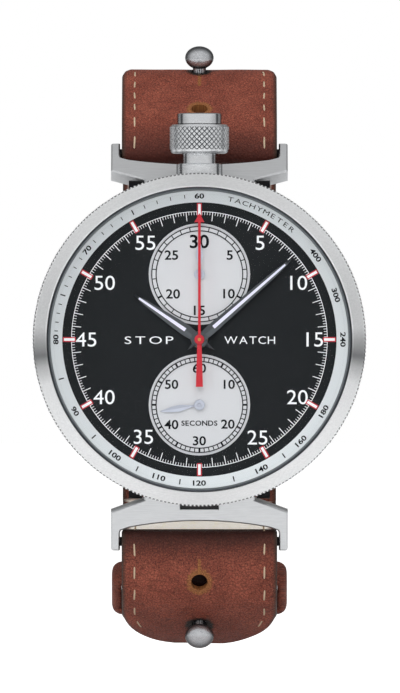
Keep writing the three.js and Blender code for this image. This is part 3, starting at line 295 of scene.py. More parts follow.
def bezel_steel(name):
    """Straight satin with painted light: a sheen, reflections of the dark sides, and shade in its teeth and
    on its inner wall.
    """
    made = Material(name)
    x, _, y = made.parts(made.place())
    turn = made.math("ARCTAN2", x, y)
    radius = made.length(x, y)
    scratches = made.noise(made.place((0.7, 8, 8)), 1.0, 4.0, 0.75)
    grain = made.noise(made.place((2.2, 4, 4)), 1.0, 3.0, 0.8)
    # painted sheen: the satin is brighter halfway between the quarters than at them
    sheen_by_angle = made.size(made.math("SINE", made.times(turn, 2.0)))
    light = made.ramp(sheen_by_angle, (0.0, linear(232, 233, 234)), (1.0, linear(249, 250, 251)))
    rough = made.times(made.plus(scratches, grain), 0.5)
    mottled = made.times(made.ramp(rough, (0.35, 0.5), (0.62, 0.0)), 0.6)
    textured = made.mix(mottled, light, linear(172, 174, 176))
    # painted reflection of the dark sides: dark spots near 3 and 9 o'clock
    sideways = made.over(made.size(turn), math.pi)
    spot = made.ramp(sideways, (0.475, 0.0), (0.505, 0.55), (0.533, 1.0), (0.555, 0.45), (0.59, 0.0))
    textured = made.mix(made.times(spot, 0.85), textured, linear(100, 102, 104))
    # painted shade in the gaps between the edge's teeth
    step = made.math("FRACT", made.times(turn, BEZEL["notches"] / (2 * math.pi)))
    between = made.math("GREATER_THAN", step, 0.45)
    at_edge = made.math("GREATER_THAN", radius, BEZEL["outer"] - 0.23)
    textured = made.mix(made.times(made.times(between, at_edge), 0.8), textured, linear(66, 68, 70))
    # painted shade on the bezel's inner wall
    inner = made.math("LESS_THAN", radius, BEZEL["inner"] - 0.01)
    made.set(Base_Color=made.mix(inner, textured, linear(96, 99, 102)), Metallic=1.0)
    made.set(Roughness=made.ramp(scratches, (0.3, 0.36), (0.7, 0.5)))
    made.set(Normal=made.bump(made.plus(scratches, grain), 0.12, 0.02))
    return made.data


def polished(name, colour, roughness=0.13):
    """Mirror-like metal with a faint smear."""
    made = Material(name)
    smear = made.noise(made.place((1.2, 1.2, 1.2)), 1.0, 4.0)
    made.set(Base_Color=colour, Metallic=1.0)
    made.set(Roughness=made.ramp(smear, (0.3, roughness), (0.75, roughness + 0.09)))
    made.set(Normal=made.bump(smear, 0.04, 0.05))
    return made.data


def paint(name, colour, roughness, grain=(14, 14, 14), spread=0.06, relief=0.08, shine=0.5, glow=0.0):
    """An even coat with a fine grain in its colour and surface, and a painted glow where asked for."""
    made = Material(name)
    speck = made.noise(made.place(grain), 1.0, 3.0, 0.65)
    low = tuple(c * (1 - spread) for c in colour[:3]) + (1,)
    coat = made.mix(speck, low, colour)
    made.set(Base_Color=coat, Specular_IOR_Level=shine, Emission_Color=coat, Emission_Strength=glow)
    made.set(Roughness=made.ramp(speck, (0.3, roughness - 0.05), (0.7, roughness + 0.05)))
    made.set(Normal=made.bump(speck, relief, 0.01))
    return made.data


def from_crown_axis(made):
    """How far the shaded point is sideways of the crown's axis, and how far from the axis."""
    x, height, _ = made.parts(made.place())
    return x, made.length(x, made.plus(height, CROWN_Z))


def side_bands(made):
    """Painted reflections where parts turned about the crown's axis would mirror the dark sides: two narrow
    bands near each edge.
    """
    x, out = from_crown_axis(made)
    bands = made.ramp(
        made.over(made.size(x), out),
        (0.72, 0.0), (0.78, 0.9), (0.83, 0.8), (0.87, 0.0), (0.92, 0.1), (0.96, 0.9), (1.0, 1.0),
    )
    facing_up = made.parts(made.node("ShaderNodeNewGeometry").outputs["Normal"])[2]
    return made.times(bands, made.ramp(made.size(facing_up), (0.5, 1.0), (0.8, 0.0)))


def turned_steel(name):
    """Bright lathe-turned steel with painted reflections of the dark sides in its side bands."""
    made = Material(name)
    fine = made.noise(made.place((0.8, 6, 0.8)), 1.0, 2.0)
    bright = made.mix(fine, linear(214, 216, 219), linear(234, 236, 238))
    made.set(Base_Color=made.mix(side_bands(made), bright, linear(62, 65, 70)), Metallic=1.0)
    made.set(Roughness=made.ramp(fine, (0.3, 0.2), (0.7, 0.3)), Normal=made.bump(fine, 0.03, 0.01))
    return made.data


def crown_steel(name):
    """Bright diamonds with painted shade in the knurled grooves, found by the distance from the crown's axis.
    """
    made = Material(name)
    _, out = from_crown_axis(made)
    depth = made.over(made.minus(KNURL["radius"], out), KNURL["depth"])
    # painted shade: darker the deeper the point lies in a groove
    groove = made.ramp(depth, (0.1, 0.0), (0.8, 1.0))
    along = made.parts(made.place())[2]
    inside = made.math("LESS_THAN", made.size(made.minus(along, BAND_MIDDLE)), BAND_HALF)
    smear = made.noise(made.place((5, 5, 1)), 1.0, 3.0)
    bright = made.mix(smear, linear(218, 220, 223), linear(242, 244, 246))
    # painted reflections of the dark sides, weaker on the knurl
    bright = made.mix(made.times(side_bands(made), 0.45), bright, linear(84, 87, 92))
    made.set(Base_Color=made.mix(made.times(groove, inside), bright, linear(76, 79, 84)), Metallic=1.0)
    made.set(Roughness=made.ramp(smear, (0.3, 0.24), (0.7, 0.34)))
    return made.data


def stud_steel(name):
    """Worn steel with painted shade: darker towards its rim and on its neck."""
    made = Material(name)
    marks = made.noise(made.place((1.5, 1.5, 6)), 1.0, 4.0, 0.75)
    facing = made.node("ShaderNodeLayerWeight", Blend=0.5).outputs["Facing"]
    worn = made.mix(marks, linear(160, 162, 166), linear(216, 218, 221))
    # painted shade: darker where the ball turns away towards its rim
    rim = made.ramp(facing, (0.2, 0.0), (0.55, 0.8), (0.85, 1.0))
    # painted shade on the neck, which sits in the shadow of the leather's hole
    neck = made.node("ShaderNodeAttribute", {"attribute_name": "neck"}).outputs["Fac"]
    dark = made.math("MAXIMUM", rim, neck)
    made.set(Base_Color=made.mix(dark, worn, linear(40, 42, 46)), Metallic=0.75)
    made.set(Roughness=made.ramp(marks, (0.3, 0.22), (0.7, 0.36)), Normal=made.bump(marks, 0.15, 0.03))
    return made.data


def sapphire(name):
    """Clear glass with a faint reflection."""
    made = Material(name)
    clear = made.node("ShaderNodeBsdfTransparent", i0=(0.985, 0.99, 0.992, 1)).outputs[0]
    smudge = made.noise(made.place((0.3, 0.3, 0.3)), 1.0, 2.0)
    smooth_spots = made.ramp(smudge, (0.4, 0.02), (0.8, 0.06))
    gloss = made.node("ShaderNodeBsdfGlossy", Roughness=smooth_spots).outputs[0]
    share = made.times(made.node("ShaderNodeFresnel", IOR=1.15).outputs[0], 0.12)
    mixed = made.node("ShaderNodeMixShader", i0=share, i1=clear, i2=gloss).outputs[0]
    made.put(made.tree.nodes["Material Output"].inputs[0], mixed)
    return made.data


def lume(name):
    """The pale filling of the hands, faintly glowing."""
    made = Material(name)
    speck = made.noise(made.place((8, 8, 8)), 1.0, 2.0)
    made.set(Base_Color=made.mix(speck, linear(212, 210, 228), linear(232, 230, 244)), Roughness=0.6)
    made.set(Emission_Color=linear(226, 224, 242), Emission_Strength=0.22)
    return made.data


def striped_nickel(name):
    """Bridges with straight polishing stripes."""
    made = Material(name)
    stripes = made.node(
        "ShaderNodeTexWave", {"wave_type": "BANDS", "wave_profile": "SAW"},
        Vector=made.place((0.5, 0.42, 0)), Scale=0.16,
    ).outputs[1]
    fine = made.noise(made.place((7, 7, 7)), 1.0, 3.0)
    made.set(Base_Color=made.mix(stripes, linear(168, 165, 158), linear(222, 219, 210)), Metallic=1.0)
    made.set(Roughness=made.ramp(fine, (0.3, 0.24), (0.7, 0.36)))
    made.set(Normal=made.bump(made.plus(stripes, made.times(fine, 0.2)), 0.3, 0.05))
    return made.data


def leather(name, tones, dark, holes=(), studs=()):
    """Aged pebbled leather, worn round its holes and studs, with painted shadow round its studs.

    Each hole or stud is its distance along the leather, the reach of its wear (for a stud also of its painted
    shadow) and the length of its slit.
    The mesh gives `across` (-1 to 1), `along` (mm), `shade` (0 to 1, towards dark) and `lining` (0 or 1).
    """
    made = Material(name)
    across, along, shade, lining = (
        made.node("ShaderNodeAttribute", {"attribute_name": key}).outputs["Fac"]
        for key in ("across", "along", "shade", "lining")
    )
    side = made.times(across, LEATHER["half"])
    shift = made.noise(made.vector(side, along, 7.0), 1.1, 2.0)
    bent = made.plus(side, made.times(shift, 0.9))
    flat = made.vector(bent, along, 0.0)
    drawn_out = made.vector(made.times(bent, 0.5), made.times(along, 2.2), 0.0)
    wrinkles = made.noise(drawn_out, 0.8, 4.0, 0.65)
    clouds = made.noise(flat, 0.22, 3.0, 0.6)
    blotches = made.noise(flat, 0.9, 3.0, 0.7)
    specks = made.noise(flat, 5.0, 2.0, 0.8)
    pebbles = made.node(
        "ShaderNodeTexVoronoi", {"feature": "DISTANCE_TO_EDGE"}, Vector=flat, Scale=2.3, Randomness=1.0
    ).outputs["Distance"]
    low, middle, high = tones
    tone = made.ramp(clouds, (0.24, low), (0.5, middle), (0.76, high))
    tone = made.mix(made.ramp(blotches, (0.36, 0.2), (0.5, 0.0)), tone, low)
    tone = made.mix(made.ramp(wrinkles, (0.33, 0.6), (0.46, 0.0)), tone, low)
    tone = made.mix(made.ramp(pebbles, (0.0, 0.65), (0.16, 0.0)), tone, dark)
    tone = made.mix(made.ramp(specks, (0.52, 0.0), (0.64, 0.5)), tone, linear(184, 112, 86))
    tone = made.mix(made.ramp(specks, (0.36, 0.5), (0.47, 0.0)), tone, dark)
    tone = made.mix(shade, tone, dark)
    edge = made.ramp(made.size(across), (0.935, 0.0), (0.985, 1.0))
    tone = made.mix(made.times(edge, 0.85), tone, linear(54, 44, 36))
    ragged = made.times(made.minus(made.noise(flat, 1.9, 4.0, 0.7), 0.5), 1.6)

    def near(centre, reach, soft):
        gap = made.length(side, made.minus(along, centre))
        share = made.over(made.plus(gap, ragged), reach + soft)
        return made.ramp(share, (reach / (reach + soft), 1.0), (1.0, 0.0))

    raw = made.ramp(specks, (0.35, linear(100, 62, 34)), (0.65, linear(172, 118, 66)))
    crooked = made.size(made.plus(side, made.times(ragged, 0.25)))
    cut = made.ramp(crooked, (0.12, 0.85), (0.3, 0.0))
    for centre, reach, slit in (*holes, *studs):
        tone = made.mix(made.times(near(centre, reach, 0.35), 0.75), tone, raw)
        within = made.math("LESS_THAN", made.size(made.minus(along, centre + slit / 2)), slit / 2)
        tone = made.mix(made.times(cut, within), tone, raw)
    # painted shadow: near-black round each stud, where its ball shades the leather
    for centre, reach, _ in studs:
        tone = made.mix(near(centre, reach, 0.7), tone, linear(34, 27, 25))
    cream = made.ramp(blotches, (0.35, linear(236, 230, 218)), (0.65, linear(248, 244, 236)))
    tone = made.mix(lining, tone, cream)
    made.set(Base_Color=tone, Specular_IOR_Level=0.22, Emission_Color=tone)
    # painted light: the lining glows so that it stays pale in the shade inside the loop
    made.set(Emission_Strength=made.times(lining, LINING_PAINTED_GLOW))
    made.set(Roughness=made.ramp(blotches, (0.3, 0.42), (0.7, 0.6)))
    pits = made.times(made.math("MINIMUM", pebbles, 0.25), 2.0)
    made.set(Normal=made.bump(made.plus(pits, made.times(wrinkles, 0.9)), 0.7, 0.14))
    return made.data


def thread(name):
    """Twisted pale thread."""
    made = Material(name)
    twist = made.noise(made.place((9, 5, 5)), 1.0, 2.0, 0.7)
    made.set(Base_Color=made.mix(twist, linear(168, 142, 114), linear(222, 204, 178)))
    made.set(Roughness=0.8, Specular_IOR_Level=0.2)
    made.set(Normal=made.bump(twist, 0.5, 0.05))
    return made.data


def materials():
    """Every finish by name."""
    finishes = {}

    def add(make, name, *settings, **named):
        finishes[name] = make(name, *settings, **named)

    satin = linear(233, 235, 237)
    tones = linear(112, 52, 40), linear(143, 73, 58), linear(168, 92, 73)
    holes = {side: [(lay["hole"], 1.75, 3.3)] for side, lay in LAYS.items()}
    studs = {"upper": [(LAYS["upper"]["stud"], 1.5, 5.0)], "lower": [(LAYS["lower"]["stud"] - 0.7, 2.0, 0.0)]}
    add(bezel_steel, "bezel_satin")
    add(steel, "satin_steel", satin, 0.4, (0.4, 7, 7), 0.4, 0.3)
    add(steel, "shaded_satin", linear(234, 236, 238), 0.42, (0.4, 7, 7), 0.4, 0.3)
    add(crown_steel, "crown_steel")
    add(stud_steel, "stud_steel")
    add(steel, "side_satin", linear(198, 200, 202), 0.38, (0.7, 0.7, 9))
    add(polished, "polished_steel", linear(214, 216, 219))
    add(turned_steel, "turned_steel")
    add(steel, "black_steel", linear(34, 34, 36), 0.42, (3, 3, 3))
    add(paint, "black_dial", linear(36, 38, 40), 0.6, relief=0.03, shine=0.08)
    add(paint, "silvered_dial", linear(224, 224, 227), 0.5, (9, 9, 9), 0.05, shine=0.2)
    # the ring's painted glow lifts it out of the shade of the bezel and its own slope
    add(paint, "scale_ring", linear(214, 218, 220), 0.5, (10, 10, 10), 0.04, shine=0.2, glow=0.24)
    # painted glow that brightens the white print
    add(paint, "white_ink", linear(250, 251, 253), 0.6, shine=0.2, glow=0.12)
    add(paint, "black_ink", linear(20, 22, 26), 0.6, shine=0.1)
    add(paint, "red_lacquer", linear(205, 28, 46), 0.35)
    add(polished, "gold", linear(205, 160, 90), 0.3)
    add(steel, "gunmetal", linear(98, 101, 105), 0.34, (4, 4, 4))
    add(lume, "lume")
    add(steel, "silvered_hand", linear(214, 218, 232), 0.35, (5, 5, 5), 0.1, 0.04)
    add(striped_nickel, "nickel_silver")
    add(steel, "brass", linear(214, 172, 98), 0.3, (3, 3, 3), 0.1)
    add(polished, "blued_steel", linear(40, 62, 140), 0.2)
    add(paint, "ruby", linear(190, 20, 70), 0.15)
    add(paint, "rubber_seal", linear(22, 22, 24), 0.6)
    # the seal round the glass: its grey and faint painted glow also stand for the shade and reflection at the
    # glass's edge
    add(paint, "glass_edge", linear(100, 107, 113), 0.4, (3, 3, 3), 0.3, glow=0.03)
    add(sapphire, "sapphire")
    add(leather, "upper_leather", tones, linear(62, 27, 22), holes["upper"], studs["upper"])
    # the lower piece's darker tone, also used in its grain, deepens its painted shade at the fold and under
    # the tab
    add(leather, "lower_leather", tones, linear(42, 22, 19), holes["lower"], studs["lower"])
    add(leather, "keeper_leather", tones, linear(46, 24, 21))
    add(thread, "thread")
    return finishes


# ------------------------------------------------------------------ meshes


class Shape:
    """Points in the watch's frame in millimetres, and faces, gathered before they become one piece."""

    def __init__(self):
        self.points = []
        self.faces = []

    def add(self, points, faces):
        base = len(self.points)
        self.points += [tuple(p) for p in points]
        self.faces += [[base + i for i in face] for face in faces]
        return self

    def mesh(self, name):
        mesh = bpy.data.meshes.new(name)
        work = bmesh.new()
        corners = [work.verts.new(row(*p)) for p in self.points]
        for face in self.faces:
            try:
                work.faces.new([corners[i] for i in face])
            except ValueError:
                continue  # the same face twice, where a profile touches its axis
        bmesh.ops.remove_doubles(work, verts=work.verts, dist=WELD)
        bmesh.ops.recalc_face_normals(work, faces=work.faces)
        work.to_mesh(mesh)
        work.free()
        return mesh


def smooth(mesh, sharp):
    """Smooth shading, with edges past an angle left sharp."""
    mesh.shade_smooth()
    mesh.set_sharp_from_angle(angle=math.radians(sharp))


def piece(name, shape, material, body, sharp=35, node=None, ride=True):
    """A shown piece with its finish, riding on a body unless ride is false, in place of a CAD node."""
    mesh = shape.mesh(name)
    smooth(mesh, sharp)
    mesh.materials.append(MATERIALS[material])
    made = bpy.data.objects.new(name, mesh)
    bpy.context.scene.collection.objects.link(made)
    if ride:
        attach(made, body)
    if node:
        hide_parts(node)
    return made


def give(made, **values):
    """Writes one value for each point of a mesh, for its material to read."""
    for name, numbers in values.items():
        made.data.attributes.new(name, "FLOAT", "POINT").data.foreach_set("value", numbers)


def loft(rings, loop=False):
    """A closed skin through rings of points; loop joins the last ring to the first."""
    count = len(rings[0])
    faces = []
    for i in range(len(rings) if loop else len(rings) - 1):
        a, b = i * count, (i + 1) % len(rings) * count
        for j in range(count):
            k = (j + 1) % count
            faces.append((a + j, a + k, b + k, b + j))
    if not loop:
        faces.append(tuple(range(count)))
        faces.append(tuple(range((len(rings) - 1) * count, len(rings) * count)))
    return [p for ring in rings for p in ring], faces


def about_z(centre=(0, 0)):
    """Places a turned point about an axis out of the dial."""
    return lambda x, y, h: (centre[0] + x, centre[1] + y, h)


def about_crown(x, y, h):
    """Places a turned point about the crown's axis."""
    return x, h, CROWN_Z + y


def turned(profile, sides, place=about_z(), radius=lambda r, h, turn: r):
    """A closed outline of (radius, height) turned about an axis."""
    rings = []
    for turn in circle(sides):
        ring = []
        for r, h in profile:
            reach = radius(r, h, turn)
            ring.append(place(reach * math.sin(turn), reach * math.cos(turn), h))
        rings.append(ring)
    return loft(rings, loop=True)


def prism(outline, low, high, centre=(0, 0)):
    """A flat outline made solid between two heights."""
    rings = [[(centre[0] + x, centre[1] + y, z) for x, y in outline] for z in (low, high)]
    return loft(rings)


def ring_outline(inner, outer, low, high):
    """The profile of a flat ring."""
    return [(inner, low), (outer, low), (outer, high), (inner, high)]


def bar_at(angle, r0, r1, width):
    """The outline of a mark lying along a clock angle."""
    a = math.radians(angle)
    sine, cosine, half = math.sin(a), math.cos(a), width / 2
    corners = ((r0, -half), (r1, -half), (r1, half), (r0, half))
    return [(r * sine + s * cosine, r * cosine - s * sine) for r, s in corners]


def lettering(text, weight):
    """A word's solid in the built-in type: points from 0 to 1 in depth, faces, and width over height."""
    curve = bpy.data.curves.new("lettering", "FONT")
    curve.body = text
    curve.extrude = 0.5
    curve.offset = weight
    curve.resolution_u = 4
    holder = bpy.data.objects.new("lettering", curve)
    bpy.context.scene.collection.objects.link(holder)
    mesh = holder.evaluated_get(bpy.context.evaluated_depsgraph_get()).to_mesh()
    points = [v.co.copy() for v in mesh.vertices]
    faces = [tuple(p.vertices) for p in mesh.polygons]
    holder.to_mesh_clear()
    bpy.data.objects.remove(holder)
    bpy.data.curves.remove(curve)
    low = [min(p[i] for p in points) for i in (0, 1)]
    high = [max(p[i] for p in points) for i in (0, 1)]
    width, height = high[0] - low[0], high[1] - low[1]
    middle = [(high[i] + low[i]) / 2 for i in (0, 1)]
    points = [((p.x - middle[0]) / height, (p.y - middle[1]) / height, p.z + 0.5) for p in points]
    return points, faces, width / height


def stamp(shape, text, height, place, surface, weight, squeeze, turn=0):
    """Adds a word of the given height at place; surface(x, y) gives the bottom and top of the ink there."""
    points, faces, _ = lettering(text, weight)
    a = math.radians(turn)
    printed = []
    for px, py, depth in points:
        x, y = px * height * squeeze, py * height
        x, y = x * math.cos(a) + y * math.sin(a) + place[0], y * math.cos(a) - x * math.sin(a) + place[1]
        low, high = surface(x, y)
        printed.append((x, y, low + depth * (high - low)))
    shape.add(printed, faces)


def spread_word(shape, text, height, place, surface, width, weight, squeeze):
    """A word set as wide letters with even gaps, so that it fills the width."""
    wide = [lettering(letter, weight)[2] * height * squeeze for letter in text]
    gap = (width - sum(wide)) / (len(text) - 1)
    x = place[0] - width / 2
    for letter, letter_width in zip(text, wide):
        stamp(shape, letter, height, (x + letter_width / 2, place[1]), surface, weight, squeeze)
        x += letter_width + gap


def ink_on(z):
    """The bottom and top of ink on a flat face at z."""
    return lambda x, y: (z - 0.01, z + 0.02)


def ink_on_ring(x, y):
    """The bottom and top of ink on the sloping ring."""
    slope = (RING["outer_z"] - RING["inner_z"]) / (RING["outer"] - RING["inner"])
    z = RING["inner_z"] + (math.hypot(x, y) - RING["inner"]) * slope
    return z - 0.02, z + 0.05


# ------------------------------------------------------------------ case


def build_bezel():
    """The sloping ring with its fine toothed edge."""
    b = BEZEL
    tooth = b["outer"] - b["notch"]
    profile = [
        (b["under"], b["bottom"]), (24.0, b["bottom"]), (24.6, b["bottom"] + 0.1),
        (b["outer"], b["bottom"] + 0.35), (b["outer"], 12.4), (24.86, 12.52), (b["face"] + 0.02, 12.56),
        (b["face"], 12.9), (b["face"] - 0.12, 12.98), (23.1, b["top"]), (b["inner"] + 0.02, b["top"]),
        (b["inner"] - 0.03, b["top"] - 0.08), (b["under"], 13.5),
    ]

    def notched(r, h, turn):
        step = (turn / (2 * math.pi) * b["notches"]) % 1
        return tooth if r > tooth and step >= 0.5 and h > b["bottom"] + 0.2 else r

    shape = Shape().add(*turned(profile, b["notches"] * 4, radius=notched))
    piece("bezel_ring", shape, "bezel_satin", "case", 25, "bezel")


def build_case_middle():
    """The smooth band of the case, with its pockets for the hinges."""
    m = MIDDLE
    edge = 0.12
    profile = [
        (m["inner"], m["low"]), (m["outer"] - edge, m["low"]), (m["outer"], m["low"] + edge),
        (m["outer"], m["high"]), (m["dial"], m["high"]), (m["dial"], m["dial_seat"]),
        (m["inner"], m["dial_seat"]),
    ]
    made = piece("case_band", Shape().add(*turned(profile, 240)), "side_satin", "case", 30)
    p = HINGE_POCKET
    cutters = []
    for hand in (-1, 1):
        near, far = sorted((hand * p["inner"], hand * (m["outer"] + 2)))
        corners = [(-p["half"], near), (p["half"], near), (p["half"], far), (-p["half"], far)]
        cutters.append(Shape().add(*prism(corners, m["low"] - 1, p["high"])))
    bore = [(0, 17.0), (1.6, 17.0), (1.6, 23.61), (2.65, 23.61), (2.65, 26.0), (0, 26.0)]
    cutters.append(Shape().add(*turned(bore, 40, about_crown)))
    carve(made, cutters)
    smooth(made.data, 30)
    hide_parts("case_middle")


def build_crystal():
    """The domed glass, closed over its hollow, and the seal round it, whose grey is also painted shade at the
    glass's edge.
    """
    c = CRYSTAL
    steps = 14
    turns = [i / steps * math.pi / 2 for i in range(steps + 1)]
    top = [(c["outer"] * math.cos(a), c["side"] + c["dome"] * math.sin(a)) for a in turns]
    inside = [(c["inner"] * math.sin(a), c["under"] + c["hollow"] * math.cos(a)) for a in turns[:-1]]
    profile = [(c["outer"], c["low"])] + top + inside + [(c["inner"], c["low"])]
    piece("domed_crystal", Shape().add(*turned(profile, 180)), "sapphire", "case", 40, "crystal")
    outline = ring_outline(c["outer"] + 0.01, BEZEL["inner"] - 0.04, c["low"], 13.5)
    # a seal ring, whose grey is partly painted shade at the glass's edge
    piece("crystal_seal", Shape().add(*turned(outline, 180)), "glass_edge", "case")


def build_scale_ring():
    """The sloping ring between the dial and the glass."""
    r = RING
    back = r["outer"] + 0.05
    low = DIAL_TOP + 0.05
    slope = [(r["outer"], r["outer_z"]), (r["inner"], r["inner_z"])]
    shape = Shape().add(*turned([(r["inner"], low), (back, low), (back, r["outer_z"])] + slope, 360))
    piece("scale_ring", shape, "scale_ring", "case", node="tachymeter_ring")


def speed_angle(speed):
    """The clock angle of a speed, by the seconds it takes over one unit of distance."""
    return 3600 / speed * 6 % 360


def build_scale_print():
    """Tachymeter numbers, marks and its word, printed on the sloping ring."""
    shape = Shape()
    middle = RING["print"]
    for speed in (400, 300, 240, 180, 160, 140, 120, 110, 100, 90, 80, 70, 60):
        angle = speed_angle(speed)
        upright = angle + 180 if 95 < angle < 265 else angle
        stamp(shape, str(speed), 0.8, clock(angle, middle), ink_on_ring, 0.028, 1.4, upright)
    for speed in [150, 130, 115, 105, 95, 85] + [s for s in range(61, 80) if s != 70]:
        half, width = (0.4, 0.18) if speed in (65, 75) or speed > 80 else (0.26, 0.12)
        add_bar(shape, bar_at(speed_angle(speed), middle - half, middle + half, width))
    letters = "TACHYMETER"
    for i, letter in enumerate(letters):
        angle = 12.6 + 27.4 * i / (len(letters) - 1)
        stamp(shape, letter, 0.68, clock(angle, middle), ink_on_ring, 0.0, 1.5, angle)
    piece("scale_print", shape, "black_ink", "case")


def add_bar(shape, outline):
    """A mark on the sloping ring."""
    low = [(x, y, ink_on_ring(x, y)[0]) for x, y in outline]
    high = [(x, y, ink_on_ring(x, y)[1]) for x, y in outline]
    shape.add(*loft([low, high]))


def dial_numbers(shape):
    """The large numbers, each at its own place between the small dials."""
    places = {
        "5": (9.1, 14.5), "10": (14.9, 8.5), "15": (17.3, 0), "20": (14.7, -8.65), "25": (8.7, -14.7),
        "35": (-8.4, -14.6), "40": (-14.3, -8.65), "45": (-17.0, 0), "50": (-14.2, 8.5), "55": (-8.1, 14.5),
    }
    for text, place in places.items():
        stamp(shape, text, 2.15, place, ink_on(DIAL_TOP), 0.0, 1.08)


def build_dial_print():
    """The dial's numbers, words, minute track and red-edged five-minute marks."""
    low, high = DIAL_TOP - 0.01, DIAL_TOP + 0.02
    white, red = Shape(), Shape()
    dial_numbers(white)
    for word, x, width, squeeze in (("STOP", -7.55, 7.3, 1.6), ("WATCH", 7.55, 7.6, 1.15)):
        spread_word(white, word, 1.12, (x, -0.1), ink_on(DIAL_TOP), width, -0.004, squeeze)
    white.add(*turned(ring_outline(19.14, 19.23, low, high), 360))
    for i in range(300):
        if i % 25 == 0:
            continue
        inner, width = (17.85, 0.11) if i % 5 == 0 else (18.7, 0.075)
        white.add(*prism(bar_at(i * 1.2, inner, 19.2, width), low, high))
    for i in range(12):
        red.add(*prism(bar_at(i * 30, 18.55, 20.46, 0.72), low, high + 0.01))
        white.add(*prism(bar_at(i * 30, 18.7, 20.32, 0.4), DIAL_TOP, high + 0.03))
    piece("dial_print_white", white, "white_ink", "case")
    piece("dial_print_red", red, "red_lacquer", "case")


def subdial_profile():
    """A raised rim, a dark groove inside it, the flat track and the sunk disc."""
    s = SUBDIAL
    rim, low, top = s["rim"], DIAL_TOP - 0.35, DIAL_TOP + 0.05
    groove = DIAL_TOP - 0.3
    return [
        (0, low), (rim, low), (rim, top - 0.03), (rim - 0.06, top), (rim - 0.19, top), (rim - 0.2, groove),
        (rim - 0.27, groove), (rim - 0.28, s["track_z"]), (s["track_inner"] - 0.04, s["track_z"]),
        (s["disc"], s["disc_z"]), (0, s["disc_z"]),
    ]


def build_subdial(name, node, side, numbers, blocks, heavy_every):
    """A recessed silvered dial with its rim, block track and numbers."""
    s = SUBDIAL
    centre = (0, side * s["y"])
    around = about_z(centre)
    shape = Shape().add(*turned(subdial_profile(), 120, around))
    piece(name, shape, "silvered_dial", "case", node=node)
    ink = Shape()
    floor, top = s["track_z"] - 0.01, s["track_z"] + 0.02
    for r in (s["track_outer"], s["track_inner"]):
        ink.add(*turned(ring_outline(r - s["line"] / 2, r + s["line"] / 2, floor, top), 120, around))
    for i in range(blocks):
        wide = 0.28 if i % heavy_every == 0 else 0.14
        outline = bar_at(i * 360 / blocks, s["track_inner"], s["track_outer"], wide)
        ink.add(*prism(outline, floor, top, centre))
    for text, x, y, height in numbers:
        stamp(ink, text, height, (x, y + centre[1]), ink_on(s["disc_z"]), 0.018, 1.1)
    if side < 0:
        spread_word(ink, "SECONDS", 0.78, (0, -2.75 + centre[1]), ink_on(s["disc_z"]), 5.4, 0.02, 1.1)
    piece(name + "_print", ink, "black_ink", "case")


def build_subdials():
    """The 30-minute dial above and the seconds dial below."""
    upper = [("30", 0, 4.9, 2.06)] + [
        (text, x, y, 1.45)
        for text, x, y in (
            ("5", 4.55, 2.86), ("10", 4.44, -2.93), ("15", 0, -5.44), ("20", -3.96, -2.96), ("25", -4.2, 2.86)
        )
    ]
    lower = [
        (text, x, y, 1.4)
        for text, x, y in (
            ("60", 0, 5.5), ("10", 4.48, 3.07), ("20", 4.27, -2.9), ("30", 0, -5.4), ("40", -4.2, -2.96),
            ("50", -4.17, 3.07),
        )
    ]
    build_subdial("minute_dial", "minute_counter_subdial", 1, upper, 30, 5)
    build_subdial("seconds_dial", "seconds_subdial", -1, lower, 60, 5)


def build_crown_group():
    """The tube with its collar, the knurled crown and the button cap."""
    k = KNURL
    tube = [
        (2.0, 23.6), (2.6, 23.65), (2.6, 24.3), (3.3, 24.35), (3.45, 24.5), (3.45, 26.28), (3.36, 26.4),
        (2.62, 26.4), (2.56, 26.5), (2.56, 28.2), (2.45, 28.3), (1.9, 28.3), (1.9, 24.0),
    ]
    shape = Shape().add(*turned(tube, 96, about_crown))
    piece("crown_neck", shape, "turned_steel", "case", node="crown_tube")

    rows = 66
    ends = 0.03
    low = [(2.75, 27.9), (3.85, 27.9), (4.12, 28.0), (4.3, 28.2), (4.38, 28.42)]
    band = [(k["radius"], k["low"] + (k["high"] - k["low"]) * i / rows) for i in range(rows + 1)]
    high = [(4.36, 32.0), (4.2, 32.22), (4.0, 32.3), (3.42, 32.3), (3.42, 31.4), (2.75, 31.4)]

    def knurled(r, h, turn):
        if r != k["radius"]:
            return r
        share = (h - k["low"]) / (k["high"] - k["low"])
        u = turn / (2 * math.pi) * k["around"]
        v = share * k["rows"]
        groove = min(abs((u + v) % 1 - 0.5), abs((u - v) % 1 - 0.5)) * 2
        fade = min(1, share / ends, (1 - share) / ends)
        return r - k["depth"] * (1 - min(1, groove / k["groove"])) * fade - 0.05 * (1 - fade)

    shape = Shape().add(*turned(low + band + high, k["around"] * 14, about_crown, knurled))
    piece("knurled_crown", shape, "crown_steel", "crown", 24, "crown")

    cap = [
        (0, 32.35), (3.2, 32.35), (3.33, 32.42), (3.33, 33.72), (3.26, 33.86), (3.05, 33.96), (2.0, 34.0),
        (0, 34.0),
    ]
    shape = Shape().add(*turned(cap, 96, about_crown))
    shape.add(*turned([(0, 29.2), (2.6, 29.2), (2.6, 32.36), (0, 32.36)], 48, about_crown))
    piece("button_cap", shape, "turned_steel", "pusher", node="pusher")


